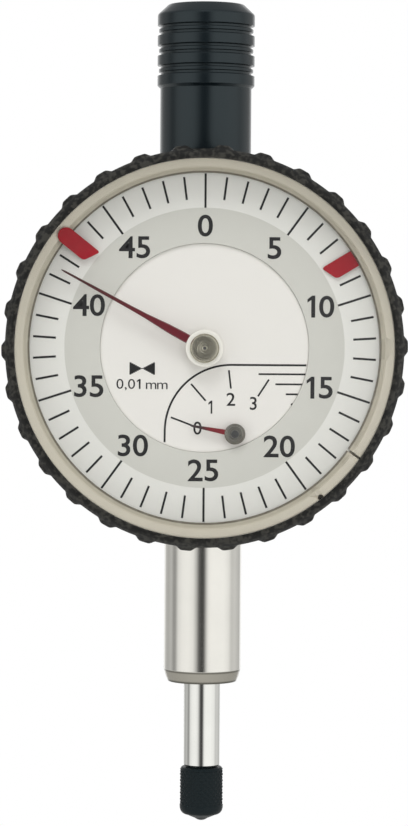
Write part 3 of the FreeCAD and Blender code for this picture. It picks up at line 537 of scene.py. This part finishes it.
# Rounds the corners of a marker's inner tip, which stand along Y.
def tipRounded(piece, reach, limit=15.9):
    made = bmesh.new()
    made.from_mesh(piece.data)
    upright = []
    for edge in made.edges:
        run = edge.verts[1].co - edge.verts[0].co
        radius = math.hypot(edge.verts[0].co.x - dialCentre.x, edge.verts[0].co.z - dialCentre.z)
        alongY = abs(run.y) > 0.9 * run.length
        if alongY and radius < limit * mm and edge.calc_face_angle(0) > 0.3:
            upright.append(edge)
    bmesh.ops.bevel(made, geom=upright, offset=reach * mm, segments=6, profile=0.5, affect="EDGES")
    made.to_mesh(piece.data)
    made.free()
    return shaded(piece, 40)


def buildMarkers():
    # steps cut into the cone, as (where along it, new radius, new depth)
    cone = {"steps": [(-10.9, 18.12, -11.05), (-10.3, 18.08, -10.35), (-9.8, 17.7, -10.1)],
            "inner": 17.55, "innerLimit": 17.7, "outerLimit": 18.9}
    # the ledge and shadow tones are painted shade: the step's ledge is painted darker and its inner edge is
    # painted as shadow
    tones = {"champagne": (216, 210, 194), "ledge": (196, 190, 173), "shadow": (116, 110, 96)}
    ring = refined("front_marker_cone", "front_marker_ring", 30)
    made = bmesh.new()
    made.from_mesh(ring.data)
    goals = {}
    for level, radius, depth in cone["steps"]:
        parts = made.verts[:] + made.edges[:] + made.faces[:]
        cut = bmesh.ops.bisect_plane(made, geom=parts, plane_co=(0, level * mm, 0), plane_no=(0, 1, 0))
        corners = [item for item in cut["geom_cut"] if isinstance(item, bmesh.types.BMVert)]
        goals.update({corner: (radius, depth) for corner in corners})
    for corner in made.verts:
        away = Vector((corner.co.x - dialCentre.x, corner.co.z - dialCentre.z))
        radius = away.length
        if corner in goals and radius < cone["outerLimit"] * mm:
            radius, depth = (size * mm for size in goals[corner])
            corner.co.y = depth
        elif radius < cone["innerLimit"] * mm:
            radius = cone["inner"] * mm
        away *= radius / away.length
        corner.co.x, corner.co.z = dialCentre.x + away.x, dialCentre.z + away.y
    made.to_mesh(ring.data)
    made.free()
    shaded(ring, 22)
    paint = latheCut("marker ring champagne", shade(*tones["champagne"]), 0.42, dialCentre, "Y", 0.06, 0.18,
                     metallic=0.3)
    radius = paint.round(dialCentre, "Y")[0]
    tone = paint.tone()
    # painted shade: darker on the ledge and darkest at the cone's inner edge, standing in for the step's shadow
    inside, outside = paint.smooth(radius, 17.66 * mm, 17.74 * mm), paint.smooth(radius, 17.98 * mm, 18.08 * mm)
    ledge = paint.mixed(inside, shade(*tones["shadow"]), shade(*tones["ledge"]))
    paint.colour(paint.mixed(outside, ledge, tone))
    finished(ring, "front_marker", "marker_ring_champagne", paint, "front_marker_ring")
    rear = refined("rear_marker_band", "rear_marker_ring", 30)
    finished(rear, "rear_marker", "marker_ring_champagne", paint, "rear_marker_ring")

    # outwards from its bend the left marker rises forward to the cone
    marker = {"red": (158, 16, 32), "leftRound": 0.3, "rightRound": 0.34, "bend": 16.4, "lift": 0.55,
              "reach": 2.15}
    red = shade(*marker["red"])
    paint = Finish("marker red", Specular_IOR_Level=0.35)
    broad = paint.noise(paint.place(), 900)
    fine = paint.noise(paint.place(), 12000, 3.0)
    paint.colour(paint.mixed(broad, toned(red, 0.9), toned(red, 1.12)))
    paint.roughness(0.3 + broad * 0.12)
    paint.bump(fine, 0.2, 0.003 * mm)
    left = tipRounded(refined("left_marker_strip", "left_marker", 40), marker["leftRound"])
    for corner in left.data.vertices:
        radius = math.hypot(corner.co.x - dialCentre.x, corner.co.z - dialCentre.z)
        past = max(0.0, radius - marker["bend"] * mm)
        corner.co.y -= marker["lift"] * mm * past / (marker["reach"] * mm)
    finished(left, "front_marker", "marker_red", paint, "left_marker")
    right = tipRounded(refined("right_marker_strip", "right_marker", 40), marker["rightRound"])
    finished(right, "rear_marker", "marker_red", paint, "right_marker")
    print("markers ready")


# Straight marks that stand round the dial's centre. Of each Skip marks, the first is left out.
def marksRule():
    rule = Rule("rays", "Count", "Inner", "Outer", "Width", "Height", "Skip", "First", "Level")
    count, inner, outer = rule.given("Count"), rule.given("Inner"), rule.given("Outer")
    circle = rule.node("GeometryNodeMeshCircle", {}, {"Vertices": count, "Radius": (inner + outer) * 0.5})
    index = rule.node("GeometryNodeInputIndex")
    size = rule.vector(outer - inner, rule.given("Width"), rule.given("Height"))
    bar = rule.node("GeometryNodeMeshCube", {}, {"Size": size})
    kept = index.math("FLOORED_MODULO", index + rule.given("First"), rule.given("Skip")) > 0.5
    turn = rule.vector(0.0, 0.0, index * math.tau / count)
    rays = rule.node("GeometryNodeInstanceOnPoints", {},
                     {"Points": circle, "Selection": kept, "Instance": bar, "Rotation": turn})
    upright = rule.vector(math.pi / 2, math.pi / 2, 0.0)
    spot = rule.vector(dialCentre.x, rule.given("Level"), dialCentre.z)
    rule.end(rule.node("GeometryNodeTransform", {},
                       {"Geometry": rays, "Translation": spot, "Rotation": upright}))
    return rule


# A 1 with a flag, one unit tall, because the built-in letters have a bare stroke for it.
def flaggedOne(stroke):
    made = bmesh.new()
    right, flag = 0.16, -0.17
    corners = [(right - stroke, 0), (right, 0), (right, 1), (right - stroke * 0.8, 1), (flag, 0.83),
               (flag, 0.68), (right - stroke, 0.8)]
    lower = made.faces.new([made.verts.new((x, y - 0.5, -0.5)) for x, y in corners])
    grown = bmesh.ops.extrude_face_region(made, geom=[lower])["geom"]
    bmesh.ops.translate(made, verts=[v for v in grown if isinstance(v, bmesh.types.BMVert)], vec=(0, 0, 1))
    bmesh.ops.recalc_face_normals(made, faces=made.faces)
    mesh = bpy.data.meshes.new("one")
    made.to_mesh(mesh)
    made.free()
    return mesh


# One letter as a solid, one unit tall and one unit thick. A digit is centred on its own height, any other
# sign keeps its place on the line.
def letter(sign, bold):
    curve = bpy.data.curves.new("letter", "FONT")
    curve.body = sign
    curve.resolution_u = 5
    curve.offset = bold
    curve.extrude = 0.5
    source = newPiece("letter", curve)
    graph = bpy.context.evaluated_depsgraph_get()
    graph.update()
    mesh = bpy.data.meshes.new_from_object(source.evaluated_get(graph))
    bpy.data.objects.remove(source)
    points = [v.co for v in mesh.vertices]
    left, right = min(p.x for p in points), max(p.x for p in points)
    bottom, top = 0, 0.7    # the line, and how tall the font's digits are
    if sign.isdigit():
        bottom, top = min(p.y for p in points), max(p.y for p in points)
    tall = top - bottom
    mesh.transform(Matrix.Translation((-(left + right) / 2, -(bottom + top) / 2, 0)))
    mesh.transform(Matrix.Diagonal((1 / tall, 1 / tall, 1, 1)))
    return mesh


# Lettering as thin raised ink: (words, across, up, height, width, boldness), from the dial's centre.
# Each sign has a cell of its own, as wide as given here for a height of one.
def lettering(name, words, level, ink=0.012):
    cells = {"1": 0.6, ",": 0.34, " ": 0.3, "m": 1.0}
    made = bmesh.new()
    stand = Matrix.Rotation(math.pi / 2, 4, "X")
    for text, across, up, height, wide, bold in words:
        widths = [cells.get(sign, 0.69) * wide * height for sign in text]
        edge = across - sum(widths) / 2
        for sign, width in zip(text, widths):
            if sign != " ":
                mesh = flaggedOne(0.155 + bold) if sign == "1" else letter(sign, bold)
                mesh.transform(Matrix.Diagonal((height * wide * mm, height * mm, ink * mm, 1)))
                spot = ((edge + width / 2) * mm + dialCentre.x, level - ink * mm / 2, up * mm + dialCentre.z)
                mesh.transform(Matrix.Translation(spot) @ stand)
                made.from_mesh(mesh)
                bpy.data.meshes.remove(mesh)
            edge += width
    bmesh.ops.remove_doubles(made, verts=made.verts, dist=1e-8)
    mesh = bpy.data.meshes.new(name)
    made.to_mesh(mesh)
    made.free()
    return newPiece(name, mesh)


# Thin raised lines along lists of points, as closed strips: (points, width), from the dial's centre.
def inkLines(name, lines, level, ink=0.012):
    made = bmesh.new()
    for points, width in lines:
        path = [Vector(p) for p in points]
        rows = []
        for k, here in enumerate(path):
            along = (path[min(k + 1, len(path) - 1)] - path[max(k - 1, 0)]).normalized()
            side = Vector((-along.y, along.x)) * width / 2
            row = []
            for spot, depth in ((here + side, 0), (here + side, ink), (here - side, ink), (here - side, 0)):
                row.append(made.verts.new((dialCentre.x + spot.x * mm, level - depth * mm,
                                           dialCentre.z + spot.y * mm)))
            rows.append(row)
        for first, second in zip(rows, rows[1:]):
            for k in range(4):
                after = (k + 1) % 4
                made.faces.new((first[k], first[after], second[after], second[k]))
        made.faces.new(rows[0])
        made.faces.new(rows[-1])
    bmesh.ops.recalc_face_normals(made, faces=made.faces)
    mesh = bpy.data.meshes.new(name)
    made.to_mesh(mesh)
    made.free()
    return newPiece(name, mesh)


def arcPoints(centre, radius, first, last, count):
    turns = [math.radians(first + (last - first) * k / count) for k in range(count + 1)]
    return [(centre[0] + radius * math.sin(t), centre[1] + radius * math.cos(t)) for t in turns]


# Matt dial lacquer, and the faint specks in it.
def dialPaint(name):
    return Finish(name, Roughness=0.5, Specular_IOR_Level=0.35)


def speckled(paint, tone, darker, amount):
    speck = paint.noise(paint.place(), 1500, 3.0)
    paint.colour(paint.mixed(speck * amount, tone, darker))
    paint.bump(paint.noise(paint.place(), 9000, 2.0), 0.12, 0.004 * mm)


def buildDial():
    # numbers are the places of 0, 5, 10 and so on, as (across, up) from the dial's centre
    dial = {"outer": 19.13, "inner": 10.5, "middleRadius": 10.4, "sheet": 0.4, "seatDrop": 0.03, "gap": 0.02,
            "tickWhite": (232, 232, 227), "numberWhite": (208, 208, 201), "middleWhite": (235, 233, 228),
            "toneBand": 14.07, "longInner": 14.05, "longOuter": 17.5, "shortInner": 14.95,
            "shortOuter": 17.25, "markWidth": 0.22, "divisions": 50, "step": 5, "ink": 0.012,
            "numberHeight": 2.2, "numberWidth": 1.08, "bold": 0.013,
            "numbers": [(0, 12.27), (6.95, 10.06), (11.52, 4.23), (11.5, -3.91), (7.57, -9.84), (-0.04, -12.3),
                        (-7.2, -9.84), (-11.63, -3.91), (-11.6, 4.23), (-7.02, 10.06)]}
    face, middle = dialFace / mm, middleFace / mm
    rear = face + dial["sheet"]
    outline = [(dial["inner"], face, 0.04), (dial["outer"], face, 0.04), (dial["outer"], rear),
               (dial["inner"], rear)]
    scale = turned("scale_ring", outline, dialCentre, "Y", 256, closed=True)
    tickWhite, numberWhite = shade(*dial["tickWhite"]), shade(*dial["numberWhite"])
    paint = dialPaint("dial white")
    radius = paint.round(dialCentre, "Y")[0]
    outside = paint.smooth(radius, (dial["toneBand"] - 0.05) * mm, (dial["toneBand"] + 0.05) * mm)
    speckled(paint, paint.mixed(outside, numberWhite, tickWhite), toned(numberWhite, 0.9), 0.12)
    finished(scale, "bezel", "dial_white", paint, "dial_ring")

    disc = refined("middle_disc", "inner_dial", 30)
    middleWhite = shade(*dial["middleWhite"])
    paint = dialPaint("dial middle")
    speckled(paint, middleWhite, toned(middleWhite, 0.88), 0.15)
    finished(disc, "case", "dial_middle", paint, "inner_dial")
    seatFront, seatRear = middle + dial["seatDrop"], middle + dial["sheet"]
    seatInner, seatOuter = dial["middleRadius"] - dial["gap"], dial["inner"] - dial["gap"]
    outline = [(seatInner, seatFront), (seatOuter, seatFront), (seatOuter, seatRear), (seatInner, seatRear)]
    seat = turned("middle_disc_lip", outline, dialCentre, "Y", 192, closed=True)
    finished(seat, "case", "dial_middle", paint)

    black = Finish("dial ink", Specular_IOR_Level=0.3)
    speck = black.noise(black.place(), 5000, 2.0)
    black.colour(black.mixed(speck, shade(30, 30, 31), shade(50, 50, 51)))
    black.roughness(0.5 + speck * 0.2)
    rule = marksRule()
    marks = []
    # name, count, inner and outer end, every how many one is left out, and where that starts
    kinds = (("long", dial["divisions"] // dial["step"], dial["longInner"], dial["longOuter"], 1000, 1),
             ("short", dial["divisions"], dial["shortInner"], dial["shortOuter"], dial["step"], 0))
    for name, count, inner, outer, skip, first in kinds:
        base = newPiece(name + "_marks", bpy.data.meshes.new(name))
        rule.run(base, black, Count=count, Inner=inner * mm, Outer=outer * mm, Width=dial["markWidth"] * mm,
                 Height=dial["ink"] * mm, Skip=float(skip), First=float(first),
                 Level=dialFace - dial["ink"] / 2 * mm)
        marks.append(base)
    joined = bmesh.new()
    for part in marks:
        joined.from_mesh(part.data)
        bpy.data.objects.remove(part)
    mesh = bpy.data.meshes.new("scale_marks")
    joined.to_mesh(mesh)
    joined.free()
    finished(newPiece("scale_marks", mesh), "bezel", "dial_white", black)

    size = (dial["numberHeight"], dial["numberWidth"], dial["bold"])
    words = [(str(k * dial["step"]), *place, *size) for k, place in enumerate(dial["numbers"])]
    numbers = lettering("scale_numbers", words, dialFace)
    finished(numbers, "bezel", "dial_white", black)
    print("scale ready")

    # prints on the fixed middle: counter scale, its frame line, the graduation sign and its unit
    # digits are (words, across, up, height, width, boldness) and strokes are pairs of (across, up)
    counter = {"tall": 1.32, "thin": 0.18, "raise": 0.07, "frameWidth": 0.2, "frameCentre": (2.75, -8.38),
               "frameRadius": 6.7, "frameStart": (-3.96, -9.5), "frameEnd": (10.25, -1.68)}
    tall = counter["tall"]
    digits = [("0", -0.66, -8.06, tall, 1.0, 0.008), ("1", 0.63, -5.94, tall, 0.9, -0.02),
              ("2", 2.68, -5.14, tall, 1.05, 0.008), ("3", 4.94, -5.54, tall, 1.0, 0.008),
              ("0,01 mm", -6.26, -3.66, 1.0, 1.13, 0.0)]
    finished(lettering("middle_numbers", digits, middleFace), "case", "dial_middle", black)
    strokes = [((-3.34, -7.06), (-1.2, -7.87)), ((-1.33, -3.69), (0.15, -5.38)), ((2.46, -2.28), (2.68, -4.13)),
               ((6.5, -3.2), (5.4, -4.9)), ((5.45, -2.66), (10.2, -2.66)), ((7.15, -3.67), (9.95, -3.67)),
               ((8.2, -4.67), (9.4, -4.67)), ((8.72, -5.72), (8.92, -5.62))]
    lift = counter["raise"]
    lines = [([(across, up + lift) for across, up in stroke], counter["thin"]) for stroke in strokes]
    arc = arcPoints(counter["frameCentre"], counter["frameRadius"], 270, 360, 40)
    lines.append(([counter["frameStart"]] + arc + [counter["frameEnd"]], counter["frameWidth"]))

    # the graduation sign is two filled triangles, point to point at the middle, drawn as upright bars
    sign = {"at": (-6.25, -2.1), "half": 1.18, "tall": 0.62, "bars": 7, "barWidth": 0.2}
    for side in (-1, 1):
        for k in range(sign["bars"]):
            share = 1 - k / (sign["bars"] - 0.5)
            across, reach = sign["at"][0] + side * sign["half"] * share, sign["tall"] * share
            bar = ((across, sign["at"][1] - reach), (across, sign["at"][1] + reach))
            lines.append((bar, sign["barWidth"]))
    finished(inkLines("middle_lines", lines, middleFace), "case", "dial_middle", black)
    print("dial prints ready")


def buildPointers():
    # steps are (how far out, half its width)
    pointer = {"turn": 298.4, "bossRadius": 1.9, "bossBore": 0.5, "faceShare": 0.8, "red": (104, 20, 34),
               "tipRed": (72, 38, 38), "speck": (70, 18, 26), "bossHighlight": (238, 236, 228),
               "steps": [(1.88, 0.45), (2.4, 0.46), (4.2, 0.42), (6.6, 0.26), (8.4, 0.21), (12.0, 0.17),
                         (15.9, 0.1), (16.3, 0.05)]}
    paint = Finish("pointer dark red", Metallic=0.0)
    radius = paint.round(dialCentre, "Y")[0]
    tip = paint.smooth(radius, 4 * mm, 15.5 * mm)
    speck = paint.noise(paint.place(), 2400, 2.0)
    tone = paint.mixed(tip, shade(*pointer["red"]), shade(*pointer["tipRed"]))
    tone = paint.mixed(speck * 0.25, tone, shade(*pointer["speck"]))
    # painted highlight: out to the boss's edge the pointer is painted near white, standing in for the bright rim
    # round the hub
    bossHighlightMask = 1 - paint.smooth(radius, 1.86 * mm, 1.92 * mm)
    paint.colour(paint.mixed(bossHighlightMask, tone, shade(*pointer["bossHighlight"])))
    paint.roughness(0.32 + speck * 0.12)
    low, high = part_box("main_pointer")
    front, rear = low.y / mm, high.y / mm
    top = pointer["faceShare"]
    made = bmesh.new()
    rows = []
    for reach, half in pointer["steps"]:
        rows.append([made.verts.new((side * half, level, reach)) for side, level in
                     ((-1, rear), (-top, front), (top, front), (1, rear))])
    for first, second in zip(rows, rows[1:]):
        for k in range(4):
            made.faces.new((first[k], first[(k + 1) % 4], second[(k + 1) % 4], second[k]))
    made.faces.new(rows[0])
    made.faces.new(rows[-1])
    bmesh.ops.recalc_face_normals(made, faces=made.faces)
    turn = Matrix.Rotation(math.radians(pointer["turn"]), 4, "Y")
    place = Matrix.Translation((dialCentre.x, 0, dialCentre.z)) @ turn
    bmesh.ops.transform(made, verts=made.verts, matrix=place @ Matrix.Diagonal((mm, mm, mm, 1)))
    mesh = bpy.data.meshes.new("main_pointer_blade")
    made.to_mesh(mesh)
    made.free()
    blade = shaded(newPiece("main_pointer_blade", mesh), 25)
    finished(blade, "centre_arbor", "pointer_dark", paint, "main_pointer")
    edge, bore = pointer["bossRadius"], pointer["bossBore"]
    outline = [(bore, front), (edge, front, 0.05), (edge, rear, 0.03), (bore, rear)]
    boss = turned("main_pointer_boss", outline, dialCentre, "Y", 96, closed=True)
    finished(boss, "centre_arbor", "pointer_dark", paint)

    small = {"red": (112, 26, 36), "paleRed": (130, 38, 46), "tipRed": (60, 48, 50)}
    paint = Finish("pointer red", Metallic=0.0)
    radius = paint.round(counterCentre, "Y")[0]
    tip = paint.smooth(radius, 2.4 * mm, 3.6 * mm)
    speck = paint.noise(paint.place(), 2400, 2.0)
    tone = paint.mixed(speck, shade(*small["red"]), shade(*small["paleRed"]))
    paint.colour(paint.mixed(tip, tone, shade(*small["tipRed"])))
    paint.roughness(0.35 + speck * 0.1)
    blade = refined("small_pointer_blade", "small_pointer", 40, 0.03)
    finished(blade, "rack_arbor", "pointer_red", paint, "small_pointer")

    # each face as (share of the edge radius, how far behind the front, rounding)
    dished = [(0.06, 0.18, 0.02), (0.11, 0.1, 0.02), (0.16, 0.05, 0.02), (0.6, 0, 0.2), (0.9, 0.03, 0.1),
              (1, 0.2, 0.08)]
    domed = [(0.3, 0.07, 0.05), (0.36, 0.2, 0.03), (0.44, 0.22, 0.03), (0.6, 0.1, 0.05),
             (0.74, 0.1, 0.05), (0.86, 0.2, 0.05), (1, 0.3, 0.05)]
    hubs = [{"name": "main_hub_cap", "node": "pointer_hub", "centre": dialCentre, "body": "centre_arbor",
             "edge": 1.47, "tone": (192, 188, 172), "rough": 0.26, "face": dished, "middle": 0.18},
            {"name": "small_hub_cap", "node": "small_pointer_hub", "centre": counterCentre,
             "body": "rack_arbor", "edge": 1.05, "tone": (150, 148, 141), "rough": 0.28, "face": domed,
             "middle": 0}]
    bore, boreDepth = 0.4, 0.12
    for hub in hubs:
        low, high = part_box(hub["node"])
        front, rear = low.y / mm, high.y / mm
        outline = [(0, front + hub["middle"])]
        outline += [(hub["edge"] * reach, front + down, soft) for reach, down, soft in hub["face"]]
        outline += [(hub["edge"], rear, 0.04), (bore, rear), (bore, rear - boreDepth), (0, rear - boreDepth)]
        cap = turned(hub["name"], outline, hub["centre"], "Y", 96)
        paint = latheCut(hub["node"] + " nickel", shade(*hub["tone"]), hub["rough"], hub["centre"], "Y", 0.09,
                         1.0, depth=0.24)
        finished(cap, hub["body"], "hub_nickel", paint, hub["node"])
    print("pointers ready")


# Cuts the crossed grooves of the contact point's knurl.
def knurlRule():
    rule = Rule("knurl", "Count", "Depth", "Pitch", "Top", "Bottom", "Fade", "Face")
    x, y, z = rule.parts(rule.node("GeometryNodeInputPosition"))
    radius = x.math("SQRT", x * x + y * y)
    around = x.math("ARCTAN2", x, y) * rule.given("Count") / math.tau
    up = z / rule.given("Pitch")
    waves = [slant.math("PINGPONG", slant, 0.5) * 2 for slant in (around + up, around - up)]
    cut = 1 - up.math("MINIMUM", *waves)
    zone = rule.smooth(z, rule.given("Bottom"), rule.given("Bottom") + rule.given("Fade"))
    zone = zone * (1 - rule.smooth(z, rule.given("Top") - rule.given("Fade"), rule.given("Top")))
    zone = zone * (radius > rule.given("Face"))
    sink = 0 - cut * zone * rule.given("Depth") / radius
    moved = rule.node("GeometryNodeSetPosition", {}, {"Geometry": rule.given("Geometry"),
                                                      "Offset": rule.vector(x * sink, y * sink, 0.0)})
    rule.end(moved)
    return rule


def buildSpindleGroup():
    # the bands are (start, end, colour) by depth below the origin, darker and lighter rings on the lower edge that
    # are painted reflection, and the lowest outer edge is drawn up
    tube = {"steel": (236, 234, 228), "edge": 3.9, "edgeFrom": -7.3, "edgeTo": -7.1,
            "reflectionBands": [(7.1, 7.18, (134, 131, 123)), (7.26, 7.4, (184, 180, 170)),
                      (8.1, 8.3, (112, 110, 103))]}
    steel = latheCut("stem steel", shade(*tube["steel"]), 0.13, spindleAxis, "Z", 0.03, 0.1)
    below = 0 - steel.round(spindleAxis, "Z")[1]
    tone = steel.tone()
    # painted reflection: rings of darker and lighter tone round the stem's lower edge
    for first, last, colour in tube["reflectionBands"]:
        tone = steel.mixed(steel.smooth(below, first * mm, last * mm), tone, shade(*colour))
    steel.colour(tone)
    stem = refined("stem_tube", "stem", 25)
    for corner in stem.data.vertices:
        outer = math.hypot(corner.co.x, corner.co.y) > tube["edge"] * mm
        if outer and corner.co.z < tube["edgeFrom"] * mm:
            corner.co.z = tube["edgeTo"] * mm
    finished(stem, "case", "stem_steel", steel, "stem")
    neck = refined("neck_tube", "upper_neck", 25)
    finished(neck, "case", "stem_steel", steel, "upper_neck")
    bright = latheCut("spindle steel", shade(240, 240, 236), 0.08, spindleAxis, "Z", 0.025, 0.08)
    rod = refined("spindle_rod", "spindle", 25)
    finished(rod, "spindle", "spindle_steel", bright, "spindle")

    tip = {"radius": 2.25, "edge": 0.2, "nose": 1.7, "endRadius": 0.75, "endDrop": 0.42, "shoulder": 4.1,
           "firstRow": 0.25, "rows": 56, "knurls": 22, "pitch": 0.65, "depth": 0.16, "fade": 0.12,
           "black": (20, 29, 32)}
    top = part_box("spindle")[0].z / mm
    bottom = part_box("contact_point")[0].z / mm
    shoulder, start = top - tip["shoulder"], top - tip["firstRow"]
    rows = [(tip["radius"], start - (start - shoulder) * k / tip["rows"]) for k in range(tip["rows"] + 1)]
    curve = []
    for k in range(1, 7):
        turn = math.radians(15 * k)
        curve.append((tip["nose"] + (tip["radius"] - tip["nose"]) * math.cos(turn),
                      shoulder - (shoulder - bottom) * math.sin(turn)))
    outline = [(0, top), (tip["radius"] - tip["edge"], top, 0.08)] + rows + curve
    outline += [(tip["endRadius"], bottom - tip["endDrop"], 0.1), (0, bottom - tip["endDrop"])]
    point = turned("contact_tip", outline, spindleAxis, "Z", 144)
    dark = grained("contact black", shade(*tip["black"]), 0.4, 0.0, grain=12000, drift=0.08, depth=0.002,
                   Specular_IOR_Level=0.16)
    knurlRule().run(point, dark, Count=tip["knurls"], Depth=tip["depth"] * mm, Pitch=tip["pitch"] * mm,
                    Top=(top - 0.2) * mm, Bottom=(shoulder + 0.15) * mm, Fade=tip["fade"] * mm,
                    Face=(tip["radius"] - 0.01) * mm)    # Face keeps the grooves off the ends
    shaded(point, 60)
    finished(point, "spindle", "contact_black", dark, "contact_point")
    ball = refined("carbide_ball", "contact_ball", 60)
    carbide = grained("ball carbide", shade(58, 62, 64), 0.3, 1.0, grain=16000, drift=0.04, depth=0.001)
    finished(ball, "spindle", "ball_carbide", carbide, "contact_ball")
    print("spindle ready")


# The case from behind, and finishes for what is hidden inside it.
def buildCase():
    outer = {"satin": (188, 190, 190), "screw": (196, 196, 192)}
    satin = grained("case satin", shade(*outer["satin"]), 0.36, 1.0, grain=7000, drift=0.04, depth=0.003)
    for name, node in (("case_body", "case_shell"), ("back_cover", "rear_cover")):
        finished(refined(name, node, 25), "case", "case_satin", satin, node)
    screw = grained("screw steel", shade(*outer["screw"]), 0.26, 1.0, grain=9000, drift=0.05, depth=0.003)
    screws = refined("cover_screws", "rear_cover_screws", 30)
    finished(screws, "case", "screw_steel", screw, "rear_cover_screws")

    # colour, roughness and metallic by slot
    inside = {"seal_rubber": ((26, 26, 27), 0.6, 0.0), "bush_brass": ((201, 168, 100), 0.28, 1.0),
              "spring_steel": ((170, 172, 176), 0.24, 1.0), "plate_brass": ((204, 172, 108), 0.34, 1.0),
              "jewel_ruby": ((150, 20, 44), 0.08, 0.0), "pin_steel": ((196, 197, 198), 0.2, 1.0),
              "wheel_brass": ((214, 178, 104), 0.3, 1.0), "screw_steel": ((196, 196, 192), 0.26, 1.0),
              "stem_steel": ((226, 224, 218), 0.22, 1.0), "marker_ring_champagne": ((176, 171, 154), 0.4, 1.0)}
    paints = {}
    for slot, (tone, rough, metallic) in inside.items():
        paints[slot] = grained("inner " + slot.replace("_", " "), shade(*tone), rough, metallic)
    kept = [name for name, node in frame["nodes"].items() if not node.hide_render]
    for name in kept:
        for holder in frame["nodes"][name].material_slots:
            holder.material = paints[slotOf[name]].material
    print("inner pieces finished:", len(kept))


buildStage()
buildCamera()
buildCap()
buildBezel()
buildMarkers()
buildDial()
buildPointers()
buildSpindleGroup()
buildCase()
